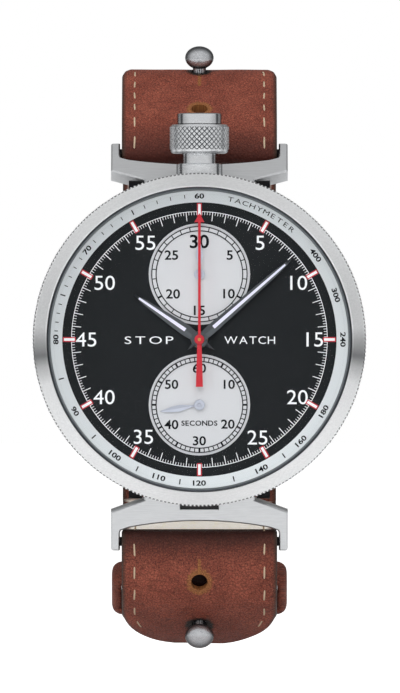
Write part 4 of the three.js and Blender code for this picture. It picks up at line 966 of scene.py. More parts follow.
def finish_case_nodes(nodes):
    """CAD pieces whose shape is right get their finish, and some a small bevel."""
    plan = {
        ("black_steel", 0.12): "case_back",
        # the strap bars are black: painted shade for the dark gaps between the leather and the ears
        ("black_steel", 0): "upper_bar lower_bar",
        ("black_dial", 0): "dial",
        ("sapphire", 0): "back_crystal",
        ("rubber_seal", 0): "back_gasket",
        ("rubber_seal", 0.05): "release_button",
        ("polished_steel", 0): "upper_hinge_pin lower_hinge_pin buckle_bar click column_wheel",
        ("nickel_silver", 0.05): "mainplate",
        ("nickel_silver", 0.08): "barrel_bridge train_bridge balance_cock",
        ("satin_steel", 0): "winding_stem cannon_pinion escape_wheel pallet_fork",
        ("satin_steel", 0.03): "ratchet_wheel crown_wheel coupling_lever operating_lever reset_hammer",
        ("blued_steel", 0): "mainspring hairspring",
        ("brass", 0.04): "barrel_drum",
        ("brass", 0): "centre_wheel third_wheel fourth_wheel balance_wheel minute_wheel hour_wheel "
        "chronograph_wheel minute_counter_wheel coupling_wheel",
    }
    for (material, bevel), names in plan.items():
        for name in names.split():
            node = nodes[name]
            node.data.materials.clear()
            node.data.materials.append(MATERIALS[material])
            smooth(node.data, 30)
            if bevel:
                made = node.modifiers.new("edge", "BEVEL")
                made.width = bevel * MM
                made.segments = 2
                made.limit_method = "ANGLE"
                made.angle_limit = math.radians(40)
                made.use_clamp_overlap = True


# ------------------------------------------------------------------ hands


def swung(points, angle):
    """Points drawn towards 12, turned to a clock angle."""
    a = math.radians(angle)
    return [(x * math.cos(a) + y * math.sin(a), y * math.cos(a) - x * math.sin(a), z) for x, y, z in points]


def facetted(outline, low, ridge, angle):
    """A flat hand outline of (half width, y) with a raised ridge along its middle."""
    edge = low + (ridge - low) * 0.35
    rings = []
    for half, y in outline:
        half = max(half, 0.01)
        rings.append([(-half, y, low), (half, y, low), (half, y, edge), (0, y, ridge), (-half, y, edge)])
    points, faces = loft(rings)
    return swung(points, angle), faces


def lance_hand(name, node, body, hand):
    """A lance-shaped hand with a lume stripe, a round hub and a pointed tail."""
    low, ridge, base, length = hand["low"], hand["ridge"], hand["base"], hand["length"]
    outline = [
        (0, -hand["tail"]), (0.42, -0.5), (0.62, 0.0), (base, 2.2), (base * 0.98, 3.4), (0.42, length * 0.82),
        (0.24, length - 1.0), (0, length),
    ]
    shape = Shape().add(*facetted(outline, low, ridge, hand["angle"]))
    shape.add(*turned(ring_outline(0.0, hand["hub"], low, ridge + 0.02), 40))
    piece(name, shape, "gunmetal", body, 12, node)
    lume_at = hand["lume"]
    wide, narrow, start, end = (lume_at[key] for key in ("wide", "narrow", "start", "end"))
    corners = [(-wide, start), (wide, start), (narrow, end), (-narrow, end)]
    rings = [swung([(x, y, h) for x, y in corners], hand["angle"]) for h in (low + 0.03, ridge + 0.03)]
    piece(name + "_lume", Shape().add(*loft(rings)), "lume", body)


def build_sweep_hand():
    """The red hand with its arrow tip, wide tail, hub and pin."""
    low, high = SWEEP["low"], SWEEP["high"]
    right = [(0.53, -7.1), (0.32, -0.4), (0.2, 0.6), (0.2, 17.6), (0.75, 17.6)]
    outline = [(-0.53, -7.1)] + right + [(0, 18.96)] + [(-x, y) for x, y in reversed(right[1:])]
    hub = [(0.25, low), (0.7, low), (0.74, 10.4), (0.74, 10.62), (0.66, 10.72), (0.25, 10.72)]
    shape = Shape().add(*prism(outline, low, high))
    shape.add(*turned(hub, 48))
    piece("red_sweep_hand", shape, "red_lacquer", "chronograph", node="sweep_hand")
    pin = [(0, low), (0.24, low), (0.24, 10.7), (0.1, 10.7), (0.1, 10.78), (0, 10.78)]
    piece("sweep_hand_pin", Shape().add(*turned(pin, 24)), "gold", "chronograph")


def leaf_hand(name, node, body, centre, angle, length):
    """A small leaf-shaped hand with its hub."""
    low, ridge = 9.2, 9.34
    outline = [
        (0.12, 0.6), (0.16, 1.2), (0.5, length * 0.5), (0.42, length * 0.68), (0.12, length * 0.94),
        (0, length),
    ]
    ring = [(0.3, low), (0.8, low), (0.8, ridge), (0.7, 9.4), (0.3, 9.4)]
    post = [(0, low), (0.26, low), (0.26, 9.45), (0.18, 9.5), (0, 9.5)]
    shape = Shape()
    for points, faces in (facetted(outline, low, ridge, angle), turned(ring, 40), turned(post, 20)):
        shape.add([(x + centre[0], y + centre[1], z) for x, y, z in points], faces)
    piece(name, shape, "silvered_hand", body, 12, node)


def build_hands():
    lance_hand("lance_hour_hand", "hour_hand", "hour", HOUR)
    lance_hand("lance_minute_hand", "minute_hand", "centre", MINUTE)
    build_sweep_hand()
    leaf_hand("leaf_counter_hand", "counter_hand", "minute_counter", (0, SUBDIAL["y"]), 0, 5.3)
    leaf_hand("leaf_seconds_hand", "seconds_hand", "seconds", (0, -SUBDIAL["y"]), SECONDS_ANGLE, 6.0)


# ------------------------------------------------------------------ brackets


def on_hinge(side, x, y, z):
    """A point drawn about a hinge axis, tilted and carried to 12 o'clock ("upper") or 6 o'clock."""
    a = math.radians(TILT[side])
    up = HINGE["y"] + y * math.cos(a) + z * math.sin(a)
    return x, up if side == "upper" else -up, HINGE["z"] + z * math.cos(a) - y * math.sin(a)


def bracket_outline():
    """The flat bracket from its hinge at y = 0 to the ends of its ears, with the arch between them."""
    b = BRACKET
    sagitta = b["arch_end"] - b["arch_middle"]
    arch_r = (b["ear_inner"] ** 2 + sagitta**2) / (2 * sagitta)
    corner, ease = 0.35, 0.15
    half, end, ear = b["half"], b["end"], b["ear_inner"]
    right = [
        (b["tongue"], 0.0), (b["tongue"], b["shoulder"]), (half, b["corner"]), (half, end - corner),
        (half - corner * 0.3, end - corner * 0.3), (half - corner, end), (ear + ease, end), (ear, end - ease),
        (ear, b["arch_end"] + 0.5), (ear - ease, b["arch_end"] + ease),
    ]
    steps = 24
    arch = []
    for i in range(1, steps):
        x = (ear - 0.4) * (1 - 2 * i / steps)
        arch.append((x, b["arch_middle"] + arch_r - math.sqrt(arch_r**2 - x**2)))
    return right + arch + [(-x, y) for x, y in reversed(right)]


def inset(outline, distance):
    """The outline moved inwards by a distance, corner by corner."""
    moved = []
    count = len(outline)
    for i, (x, y) in enumerate(outline):
        ax, ay = outline[i - 1]
        bx, by = outline[(i + 1) % count]
        first = Vector((x - ax, y - ay)).normalized()
        second = Vector((bx - x, by - y)).normalized()
        normal = Vector((-first.y - second.y, first.x + second.x))
        normal /= max(0.35, normal.length_squared / 2)
        moved.append((x + normal.x * distance, y + normal.y * distance))
    return moved


def build_bracket(side):
    """A bevelled lug bracket with the knuckle round its hinge pin."""
    b = BRACKET
    outline = bracket_outline()
    small = inset(outline, b["bevel"])
    t = b["thickness"] / 2
    rings = []
    for shape_outline, z in ((small, -t), (outline, -t + b["bevel"]), (outline, t - b["bevel"]), (small, t)):
        rings.append([on_hinge(side, x, y, z) for x, y in shape_outline])
    shape = Shape().add(*loft(rings))
    knuckle = []
    for x in (-b["tongue"], -b["tongue"] + 0.15, b["tongue"] - 0.15, b["tongue"]):
        r = t - 0.1 if abs(x) == b["tongue"] else t + 0.02
        knuckle.append([on_hinge(side, x, r * math.sin(a), r * math.cos(a)) for a in circle(40)])
    shape.add(*loft(knuckle))
    name = side + "_lug_bracket"
    finish = "shaded_satin" if side == "upper" else "satin_steel"
    return piece(name, shape, finish, side + "_bracket", 12, side + "_bracket")


def cut_slot(bracket):
    """The release button's slot, cut through the front of the lower bracket."""
    shape = Shape()
    corners = [(-2.95, 2.05), (2.95, 2.05), (2.95, 3.6), (-2.95, 3.6)]
    shape.add(*loft([[on_hinge("lower", x, y, z) for x, y in corners] for z in (-0.6, 2.0)]))
    carve(bracket, [shape])


def carve(target, cutters):
    """Cuts solids out of a piece's mesh."""
    for i, cutter in enumerate(cutters):
        tool = bpy.data.objects.new("cutter", cutter.mesh("cutter"))
        bpy.context.scene.collection.objects.link(tool)
        made = target.modifiers.new("cut", "BOOLEAN")
        made.operation = "DIFFERENCE"
        made.solver = "EXACT"
        made.object = tool
        bpy.context.view_layer.update()
        evaluated = target.evaluated_get(bpy.context.evaluated_depsgraph_get())
        mesh = bpy.data.meshes.new_from_object(evaluated)
        target.modifiers.remove(made)
        old = target.data
        target.data = mesh
        mesh.name = f"{target.name}_cut{i}"
        bpy.data.meshes.remove(old)
        bpy.data.objects.remove(tool)


# ------------------------------------------------------------------ strap paths


def walk(start, first, stretches):
    """A path across the strap from start. Each stretch is (length, heading at its end), as in the CAD."""
    step, turn_step = 2.2, 12
    p, z = start
    heading = first
    points = [(p, z, heading)]
    for length, last in stretches:
        count = max(1, math.ceil(length / step), math.ceil(abs(last - heading) / turn_step))
        for i in range(count):
            middle = math.radians(heading + (last - heading) * (i + 0.5) / count)
            p += length / count * math.cos(middle)
            z -= length / count * math.sin(middle)
            points.append((p, z, heading + (last - heading) * (i + 1) / count))
        heading = last
    return points


def outward(h):
    """The direction square to a heading, away from the wrist."""
    return math.sin(math.radians(h)), math.cos(math.radians(h))


def backwards(path):
    """The path from its end to its start."""
    return [(p, z, h + 180) for p, z, h in reversed(path)]


def offset(path, distance):
    """The path moved outward."""
    return [(p + distance * outward(h)[0], z + distance * outward(h)[1], h) for p, z, h in path]


def bar_place(side):
    """The centre of a strap bar."""
    a = math.radians(TILT[side])
    return HINGE["y"] + BAR["reach"] * math.cos(a), HINGE["z"] - BAR["reach"] * math.sin(a)


def round_bar(bar, first, last, inside=1, steps=14):
    """The leather's turn round a bar; inside is 1 or -1 for the side of the leather that faces the bar."""
    points = []
    for i in range(steps + 1):
        h = first + (last - first) * i / steps
        n = outward(h)
        points.append((bar[0] - inside * WRAP_R * n[0], bar[1] - inside * WRAP_R * n[1], h))
    return points


def tab_path(side):
    """The tab from its bar to its tip."""
    start = round_bar(bar_place(side), LEAVES[side], LEAVES[side], -1, 1)[0][:2]
    return walk(start, LEAVES[side], TAB[side])


def main_path(side):
    """The main leather from its bar on round the wrist."""
    start = round_bar(bar_place(side), LEAVES[side], LEAVES[side], 1, 1)[0][:2]
    return walk(start, LEAVES[side], MAIN[side])


def buckle_place():
    """The centre of the buckle's bar and the heading there."""
    p, z, h = main_path("lower")[-1]
    n = outward(h)
    return p - WRAP_R * n[0], z - WRAP_R * n[1], h


def lower_path():
    """The short piece from its tab's tip, round its bar, to the fold round the buckle's bar."""
    p, z, h = buckle_place()
    fold = round_bar((p, z), h, h + 180, -1)
    last = fold[-1]
    inner = walk(last[:2], last[2], [(BUCKLE_FOLD, last[2] - 14)])
    leave = LEAVES["lower"]
    return (
        backwards(tab_path("lower"))[:-1] + round_bar(bar_place("lower"), leave + 180, leave)
        + main_path("lower")[1:-1] + fold + inner[1:]
    )


def join_up(start, end, handle):
    """A smooth curve from one path point to another, without its ends."""
    steps = 10
    a, b = math.radians(start[2]), math.radians(end[2])
    control = [
        start[:2],
        (start[0] + handle * math.cos(a), start[1] - handle * math.sin(a)),
        (end[0] - handle * math.cos(b), end[1] + handle * math.sin(b)),
        end[:2],
    ]
    points = []
    for i in range(1, steps):
        t = i / steps
        weights = ((1 - t) ** 3, 3 * t * (1 - t) ** 2, 3 * t * t * (1 - t), t**3)
        p, z = (sum(w * c[k] for w, c in zip(weights, control)) for k in (0, 1))
        points.append((p, z, start[2] + t * (end[2] - start[2])))
    return points


def upper_path():
    """The long piece from its tab's tip, round its bar and the wrist, to its end over the short piece."""
    back = backwards(offset(main_path("lower"), LEATHER["layer_gap"]))
    reach = distances(back)
    # seen from the upper side, the place across is mirrored and a heading h is 540 - h
    free = [(-p, z, 540 - h) for (p, z, h), d in zip(back, reach) if d <= FREE_END]
    main = main_path("upper")
    leave = LEAVES["upper"]
    return (
        backwards(tab_path("upper"))[:-1] + round_bar(bar_place("upper"), leave + 180, leave)
        + main[1:] + join_up(main[-1], free[0], 10) + free
    )


def distances(path):
    """How far along the path each of its points is."""
    total = [0.0]
    for (p0, z0, _), (p1, z1, _) in zip(path, path[1:]):
        total.append(total[-1] + math.hypot(p1 - p0, z1 - z0))
    return total


def at_distance(path, distance, reach=None):
    """The point and heading at a distance along the path."""
    reach = reach or distances(path)
    i = 0
    while i < len(path) - 2 and reach[i + 1] < distance:
        i += 1
    t = (distance - reach[i]) / (reach[i + 1] - reach[i])
    return tuple(a + t * (b - a) for a, b in zip(path[i], path[i + 1]))


def tip_half(distance):
    """Half the leather's width near a rounded tip."""
    left = min(1, max(0, distance) / LEATHER["tip"])
    return LEATHER["half"] * (0.37 + 0.63 * (1 - (1 - left) ** 2) ** 0.75)


def lay_of(side):
    """Distances along a whole strap path, from its tab's tip, of the places the leather needs."""
    tab = distances(tab_path(side))[-1]
    return {"tab": tab, "turn": math.pi * WRAP_R, "stud": tab - STUD_AT[side], "hole": tab - HOLE_AT[side]}


LAYS = {side: lay_of(side) for side in SIDES}
SIGN = {"upper": 1, "lower": -1}


def on_path(side, spot, x, rise, forward=0.0):
    """A point beside a path spot: rise along its outward side, forward along its heading."""
    p, z, h = spot
    n = outward(h)
    a = math.radians(h)
    return x, SIGN[side] * (p + rise * n[0] + forward * math.cos(a)), z + rise * n[1] - forward * math.sin(a)


# ------------------------------------------------------------------ leather


def relaxed(path, spacing):
    """The path at even spacing, with its corners eased."""
    reach = distances(path)
    count = round(reach[-1] / spacing)
    even = [at_distance(path, reach[-1] * i / count, reach) for i in range(count + 1)]
    for _ in range(3):
        inner = [
            tuple((a[k] + 2 * b[k] + c[k]) / 4 for k in range(3)) for a, b, c in zip(even, even[1:], even[2:])
        ]
        even = [even[0]] + inner + [even[-1]]
    return even


def strap_half(side, distance, total):
    """Half the leather's width; the upper tab's end is square and rolls over at its corners."""
    if side == "lower":
        return tip_half(distance)
    e = TAB_END
    roll = e["bend_r"] * (1 - math.cos(max(0.0, distance - e["bend_at"]) / e["bend_r"]))
    below = roll if distance < e["reach"] else e["corner"]
    left = max(0.0, 1 - below / e["corner"])
    tab_end = LEATHER["half"] - e["corner"] * (1 - math.sqrt(1 - left * left))
    return min(tab_end, tip_half(total - distance))


def half_thickness(side, distance):
    """Thin where the leather turns round a bar, full elsewhere."""
    lay = LAYS[side]
    middle = lay["tab"] + lay["turn"] / 2
    gap = max(0, abs(distance - middle) - lay["turn"] / 2)
    share = min(1, gap / 2.5)
    share = share * share * (3 - 2 * share)
    thin, full = LEATHER["at_bar"] / 2, LEATHER["thickness"] / 2
    if side == "lower" and distance > STRAP_TOTAL["lower"] - BUCKLE_FOLD - lay["turn"] - 1:
        return thin
    return thin + share * (full - thin)


def lift(side, x, distance):
    """The leather's gentle unevenness on the tab, where nothing lies close over it."""
    if distance >= LAYS[side]["tab"] - 2:
        return 0
    return noise.noise(Vector((x * 0.16, distance * 0.22, WAVE_SEED[side]))) * 0.09


STRAP_PATH = {"upper": relaxed(upper_path(), 0.5), "lower": relaxed(lower_path(), 0.5)}
STRAP_TOTAL = {side: distances(path)[-1] for side, path in STRAP_PATH.items()}


def strap_skin(side):
    """Rings of points round the leather's section, from the tab's tip to its other end."""
    columns, rounding = 26, 5
    path = STRAP_PATH[side]
    reach = distances(path)
    rings = []
    for spot, distance in zip(path, reach):
        half = strap_half(side, distance, reach[-1])
        t = half_thickness(side, distance)
        curve = min(t * 0.85, 0.6)
        ring = []
        for face in (1, -1):
            for i in range(columns + 1):
                x = face * (-1 + 2 * i / columns) * (half - curve)
                ring.append(on_path(side, spot, x, face * t + lift(side, x, distance)))
            for i in range(1, rounding):
                a = math.pi * i / rounding
                x = face * (half - curve + curve * math.sin(a))
                ring.append(on_path(side, spot, x, face * t * math.cos(a) + lift(side, x, distance)))
        rings.append(ring)
    return loft(rings)


def add_leather_attributes(made, side):
    """Gives each point its distance along the path, its place across, how dark it is, and the lining."""
    path = STRAP_PATH[side]
    reach = distances(path)
    lay = LAYS[side]
    spots = [Vector(on_path(side, spot, 0, 0)) for spot in path]
    tree = kdtree.KDTree(len(spots))
    for i, spot in enumerate(spots):
        tree.insert(Vector((0, spot.y, spot.z)), i)
    tree.balance()
    count = len(made.data.vertices)
    along, across, shade, lining = ([0.0] * count for _ in range(4))
    for i, vertex in enumerate(made.data.vertices):
        x, y, z = vertex.co.x / MM, vertex.co.z / MM, -vertex.co.y / MM
        _, index, _ = tree.find(Vector((0, y, z)))
        a = math.radians(path[index][2])
        dy, dz = SIGN[side] * (y - spots[index].y), z - spots[index].z
        distance = reach[index] + dy * math.cos(a) - dz * math.sin(a)
        rise = dy * math.sin(a) + dz * math.cos(a)
        along[i] = distance
        across[i] = x / max(1.0, strap_half(side, distance, reach[-1]))
        from_fold = abs(distance - lay["tab"] - lay["turn"] / 2)
        share = max(0.0, 1 - from_fold / SHADE_REACH[side])
        shade[i] = share * share * (3 - 2 * share)
        past_fold = distance - lay["tab"] - lay["turn"]
        if past_fold > 0:
            shade[i] = max(shade[i], 1.0 if rise > 0 and past_fold < lay["tab"] else 0.3)
            lining[i] = float(rise < -0.4 and past_fold > LINING_STARTS and abs(across[i]) < 0.94)
    give(made, along=along, across=across, shade=shade, lining=lining)


def punch(side, distance, r, low, high):
    """A round punch standing on the path."""
    spot = at_distance(STRAP_PATH[side], distance)
    rings = [
        [on_path(side, spot, r * math.cos(a), rise, r * math.sin(a)) for a in circle(32)]
        for rise in (low, high)
    ]
    return Shape().add(*loft(rings))


def block_on_buckle(x0, x1, y0, y1, z0, z1):
    """A box standing on the buckle's place, drawn with y along the short piece and z outward."""
    spot = buckle_place()
    corners = [(x0, y0), (x1, y0), (x1, y1), (x0, y1)]
    rings = [[on_path("lower", spot, x, z, y) for x, y in corners] for z in (z0, z1)]
    return Shape().add(*loft(rings))


def build_strap(side):
    """A leather piece with its tab, holes and slot."""
    name = side + "_leather"
    made = piece(name, Shape().add(*strap_skin(side)), name, "case", 50, ride=False)
    lay = LAYS[side]
    cutters = [
        punch(side, lay["stud"], LEATHER["hole"], -5, 2),
        punch(side, lay["hole"], LEATHER["hole"] + 0.1, -1.2, 2),
    ]
    if side == "lower":  # the slot for the tongue's loop, then the tongue's hole in the long piece
        cutters.append(block_on_buckle(-1.1, 1.1, -3.2, 3.2, -2.6, 2.4))
    else:
        cutters.append(block_on_buckle(-1, 1, 1.0, 4.7, 1.2, 5.5))
    carve(made, cutters)
    smooth(made.data, 50)
    add_leather_attributes(made, side)
    bend(made, side)
    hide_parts(side + "_strap")


def bend(made, side):
    """Bakes the placement of the leather or its stitches into the mesh, the same on both sides."""
    if side == "upper":
        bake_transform(made)
    else:
        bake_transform(made)


def build_stitches(side):
    """Thread along both edges, seen on both faces of the leather."""
    path = STRAP_PATH[side]
    total = STRAP_TOTAL[side]
    jitter = random.Random(5 if side == "upper" else 8)
    shape = Shape()
    first = LAYS[side]["tab"] - STITCH["length"] - 0.1
    first -= int((first - STITCH["free"]) / STITCH["pitch"]) * STITCH["pitch"]
    count = int((total - 5 - first) / STITCH["pitch"])
    for i in range(count):
        start = first + i * STITCH["pitch"]
        for hand in (-1, 1):
            for face in (1, -1):
                add_stitch(shape, side, path, start + jitter.uniform(-0.12, 0.12), hand, face, jitter)
    made = piece(side + "_stitches", shape, "thread", "case", 60, ride=False)
    bend(made, side)


def add_stitch(shape, side, path, start, hand, face, jitter):
    """One stitch: a short thread whose ends dip into the leather."""
    steps, around = 6, 8
    rings = []
    drift = jitter.uniform(-0.06, 0.06)
    for j in range(steps + 1):
        t = j / steps
        distance = start + STITCH["length"] * t
        spot = at_distance(path, distance)
        half = strap_half(side, distance, STRAP_TOTAL[side])
        x = hand * (half - STITCH["inset"]) + drift * (t - 0.5) * 2
        bulge = math.sin(math.pi * t)
        r = STITCH["radius"] * (0.35 + 0.65 * min(1, 3 * bulge))
        above = half_thickness(side, distance) - STITCH["sunk"] * (1 - bulge)
        rise = face * above + lift(side, x, distance)
        rings.append([
            on_path(side, spot, x + 1.15 * r * math.cos(a), rise + 0.8 * r * math.sin(a))
            for a in circle(around)
        ])
    shape.add(*loft(rings))


def build_stud(side):
    """A ball on a neck through the tab's hole, with its round foot behind the leather."""
    spot = at_distance(tab_path(side), STUD_AT[side])
    ball = [
        (2.16 * math.sin(a), 2.86 + 1.72 * math.cos(a)) for a in (math.radians(d) for d in range(150, -1, -6))
    ]
    foot = [(0, -4.1), (2.1, -4.1), (2.2, -4.0), (2.2, -3.6), (2.1, -3.5), (1.0, -3.4), (1.0, STUD_NECK)]
    points, faces = turned(foot + ball, 64)
    placed = [on_path(side, spot, x, h, y) for x, y, h in points]
    shape = Shape().add(placed, faces)
    made = piece(side + "_ball_stud", shape, "stud_steel", "case", 40, side + "_stud")
    origin = row(*on_path(side, spot, 0, 0))
    axis = (row(*on_path(side, spot, 0, 1)) - origin).normalized()
    # marks the neck for its painted shade
    give(made, neck=[float((v.co - origin).dot(axis) < STUD_NECK * MM) for v in made.data.vertices])


def rounded(reach_x, reach_z, r, steps=6):
    """A rectangle's outline with round corners."""
    outline = []
    for quarter in range(4):
        cx = (reach_x - r) * (1 if quarter in (0, 3) else -1)
        cz = (reach_z - r) * (1 if quarter in (0, 1) else -1)
        for i in range(steps + 1):
            a = math.pi / 2 * (quarter + i / steps)
            outline.append((cx + r * math.cos(a), cz + r * math.sin(a)))
    return outline


def keeper_section():
    """The band's section as (share of the wall from inside to outside, place along), with eased edges."""
    half = KEEPER["half"]
    eased = [(0, 0.35), (0.08, 0.1), (0.3, 0), (0.55, 0.2), (0.8, 0.65), (0.95, 1.2), (1, 2.0)]
    near = [(share, d - half) for share, d in eased]
    far = [(share, half - d) for share, d in reversed(eased)]
    return [far[-1], (0, 0)] + near + [(1, 0)] + far[:-1]


def build_keeper():
    """The leather loop: a rounded band round both layers of the strap."""
    k = KEEPER
    inside = LEATHER["half"] + 0.12
    low = -LEATHER["thickness"] / 2 - k["slack"]
    high = LEATHER["layer_gap"] + LEATHER["thickness"] / 2 + k["slack"]
    spot = at_distance(main_path("lower"), KEEPER_AT)
    inner = rounded(inside, (high - low) / 2, k["inner_r"])
    outer = rounded(inside + k["wall"], (high - low) / 2 + k["wall"], k["outer_r"])
    rings = []
    for (xi, zi), (xo, zo) in zip(inner, outer):
        ring = []
        for share, y in keeper_section():
            x, z = xi + (xo - xi) * share, zi + (zo - zi) * share + (high + low) / 2
            ring.append(on_path("lower", spot, x, z, y))
        rings.append(ring)
    shape = Shape().add(*loft(rings, loop=True))
    made = piece(
        "leather_keeper", shape, "keeper_leather", "sliding_keeper", 50, "sliding_keeper"
    )
    points = [v.co / MM for v in made.data.vertices]
    across = [0.9 * (abs(((p.x - p.y) / 10 + 1) % 4 - 2) - 1) for p in points]
    shade, lining = [0.15] * len(points), [0.0] * len(points)
    give(made, along=[p.z for p in points], across=across, shade=shade, lining=lining)


def buckle_arm(hand):
    """One side of the frame, from the bar's end up to the rail."""
    f = FRAME
    rings = []
    for i in range(13):
        t = i / 12
        size = f["root"] + (f["rail"] - f["root"]) * t
        middle = f["half"] - 0.2 + 0.25 * math.sin(math.pi * t)
        rings.append([
            (hand * (middle + f["side"] * math.cos(a)), f["rise"] * t + size * math.sin(a), f["reach"] * t)
            for a in circle(16)
        ])
    return rings


def buckle_rail():
    """The rail over the long piece, thinner towards its ends."""
    f = FRAME
    rings = []
    for i in range(25):
        t = -1 + i / 12
        r = f["rail"] * (1 - 0.12 * t * t)
        rings.append([
            (t * (f["half"] + 0.2), f["rise"] + r * math.sin(a), f["reach"] + r * math.cos(a))
            for a in circle(16)
        ])
    return rings


def tongue_loop():
    """The tongue's loop round the buckle's bar."""
    section = [(-0.75, 0.78), (0.75, 0.78), (0.75, 1.2), (0.6, 1.35), (-0.6, 1.35), (-0.75, 1.2)]
    return [[(x, r * math.sin(a), r * math.cos(a)) for x, r in section] for a in circle(24)]


def tongue_arm():
    """The tongue from its loop through the hole and over the rail, thinner towards its end."""
    arm = relaxed(walk((0.74, 0.74), -45, [(2.1, -50), (2.4, -60), (1.3, -10), (4.6, 4)]), 0.35)
    thickness = 0.35
    rings = []
    for index, (q, w, h) in enumerate(arm):
        n = outward(h)
        half = 0.75 * (1 - 0.3 * index / (len(arm) - 1))
        rings.append([
            (half * math.cos(a), w + thickness * math.sin(a) * n[1], q + thickness * math.sin(a) * n[0])
            for a in circle(12)
        ])
    return rings


def build_buckle():
    """The pin buckle: a rounded frame from the bar's ends over the long piece, and its tongue."""
    spot = buckle_place()

    def placed(rings, loop=False):
        return loft([[on_path("lower", spot, *point) for point in ring] for ring in rings], loop)

    shape = Shape()
    for rings in (buckle_arm(-1), buckle_arm(1), buckle_rail()):
        shape.add(*placed(rings))
    piece("buckle_loop", shape, "polished_steel", "buckle_frame", 45, "buckle_frame")
    tongue = Shape().add(*placed(tongue_loop(), loop=True))
    tongue.add(*placed(tongue_arm()))
    piece("buckle_pin", tongue, "polished_steel", "buckle_tongue", 45, "buckle_tongue")


# ------------------------------------------------------------------ movement details


def build_jewels():
    """Ruby bearings in their brass settings on the bridges."""
    ruby, setting = Shape(), Shape()
    low, high = JEWEL_FACE - 0.06, JEWEL_FACE + 0.3
    for place in JEWELS:
        ruby.add(*turned(ring_outline(0.12, 0.42, low, high), 24, about_z(place)))
        collar = [(0.43, JEWEL_FACE - 0.08), (0.62, JEWEL_FACE - 0.05), (0.62, high), (0.43, high)]
        setting.add(*turned(collar, 24, about_z(place)))
    piece("bridge_jewels", ruby, "ruby", "case")
    piece("jewel_settings", setting, "gold", "case")


# ------------------------------------------------------------------ stage, light and camera


def area_light(name, place, size, power):
    """A soft light aimed at the watch, not seen in its reflections."""
    lamp = bpy.data.lights.new(name, "AREA")
    lamp.shape = "RECTANGLE"
    lamp.size, lamp.size_y = size
    lamp.energy = power
    made = bpy.data.objects.new(name, lamp)
    made.location = place
    made.rotation_euler = (-Vector(place)).to_track_quat("-Z", "Y").to_euler()
    made.visible_glossy = False
    bpy.context.scene.collection.objects.link(made)


def build_world():
    """White for the camera; for reflections bright in front, above and below, and darker at the sides."""
    world = bpy.data.worlds.new("studio")
    bpy.context.scene.world = world
    world.use_nodes = True
    studio = Nodes(world.node_tree)
    studio.tree.nodes.clear()

    def eased(value, *limits):
        """A smooth step of a value, between its from and to limits."""
        made = studio.node("ShaderNodeMapRange", {"interpolation_type": "SMOOTHSTEP"}, i0=value)
        for socket, limit in zip(made.inputs[1:5], limits):
            socket.default_value = limit
        return made.outputs[0]

    ray = studio.parts(studio.node("ShaderNodeTexCoord").outputs["Generated"])
    sideways = eased(studio.size(ray[0]), 0.8, 1.0, 1.0, 0.7)
    front = eased(ray[1], -0.2, 0.6, 1.0, 0.3)
    path = studio.node("ShaderNodeLightPath").outputs
    strength = studio.plus(studio.times(path["Is Glossy Ray"], WORLD_GLOSS - WORLD_LIGHT), WORLD_LIGHT)
    brightness = studio.times(studio.times(sideways, front), strength)
    lit = studio.node("ShaderNodeBackground", i1=brightness).outputs[0]
    seen = studio.node("ShaderNodeBackground", i0=(1, 1, 1, 1), i1=1.0).outputs[0]
    mixed = studio.node("ShaderNodeMixShader", i0=path["Is Camera Ray"], i1=lit, i2=seen).outputs[0]
    studio.node("ShaderNodeOutputWorld", i0=mixed)


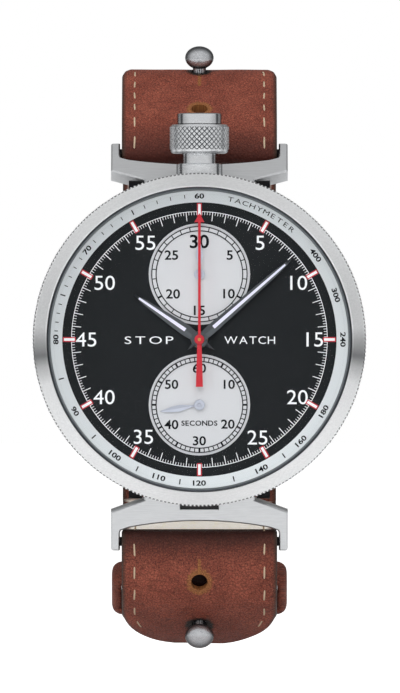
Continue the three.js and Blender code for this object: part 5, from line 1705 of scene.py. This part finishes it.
def build_floor():
    """A plain white floor under the watch."""
    mesh = bpy.data.meshes.new("floor")
    r = FLOOR_REACH
    mesh.from_pydata([(x, y, FLOOR_Z) for x, y in ((-r, -r), (r, -r), (r, r), (-r, r))], [], [(0, 1, 2, 3)])
    made = Material("floor")
    speck = made.noise(made.place((0.02, 0.02, 0.02)), 1.0, 2.0)
    made.set(Base_Color=made.mix(speck, linear(240, 240, 240), linear(246, 246, 246)), Roughness=0.9)
    ray = made.node("ShaderNodeLightPath").outputs
    mirrored = made.times(ray["Is Glossy Ray"], FLOOR_MIRRORED)
    made.set(Specular_IOR_Level=0.0, Emission_Color=(1, 1, 1, 1))
    made.set(Emission_Strength=made.plus(mirrored, made.times(ray["Is Camera Ray"], FLOOR_GLOW)))
    mesh.materials.append(made.data)
    floor = bpy.data.objects.new("floor", mesh)
    bpy.context.scene.collection.objects.link(floor)
    floor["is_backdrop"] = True


def build_lights():
    area_light("front_soft", (0, -0.7, 0.3), (0.5, 0.5), 2.7)
    area_light("top_soft", (0, -0.2, 0.75), (0.5, 0.4), 1.4)
    area_light("left_soft", (-0.6, -0.5, 0.15), (0.25, 0.6), 0.8)


def build_camera():
    """A long lens straight in front of the dial."""
    data = bpy.data.cameras.new("camera")
    data.lens = CAMERA_LENS
    data.sensor_width = CAMERA_SENSOR
    data.sensor_fit = "AUTO"
    distance = SHOWN_HEIGHT * CAMERA_LENS / CAMERA_SENSOR
    data.clip_start = 0.01
    data.clip_end = distance * 4
    camera = bpy.data.objects.new("camera", data)
    camera.location = (PICTURE_CENTRE[0], -distance - DIAL_TOP * MM, PICTURE_CENTRE[1])
    camera.rotation_euler = (math.pi / 2, 0, 0)
    bpy.context.scene.collection.objects.link(camera)
    bpy.context.scene.camera = camera


# ------------------------------------------------------------------ assembly

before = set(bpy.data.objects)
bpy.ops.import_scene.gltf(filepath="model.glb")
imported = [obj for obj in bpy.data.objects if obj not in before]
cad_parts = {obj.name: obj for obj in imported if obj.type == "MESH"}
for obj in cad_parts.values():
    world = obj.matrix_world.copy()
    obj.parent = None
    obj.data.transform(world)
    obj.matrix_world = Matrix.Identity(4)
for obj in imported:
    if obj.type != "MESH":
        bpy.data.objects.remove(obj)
cad_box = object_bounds()
MATERIALS = materials()

finish_case_nodes(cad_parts)
build_bezel()
build_case_middle()
build_crystal()
build_scale_ring()
build_scale_print()
build_dial_print()
build_subdials()
build_crown_group()
build_hands()
build_bracket("upper")
cut_slot(build_bracket("lower"))
for strap_side in SIDES:
    build_strap(strap_side)
    build_stitches(strap_side)
    build_stud(strap_side)
build_keeper()
build_buckle()
build_jewels()
build_world()
build_floor()
build_lights()
build_camera()
bpy.context.scene.view_settings.view_transform = "Standard"

sizes = {"cad": cad_box, "visual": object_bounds()}
{key: [[float(v) for v in corner] for corner in value] for key, value in sizes.items()}
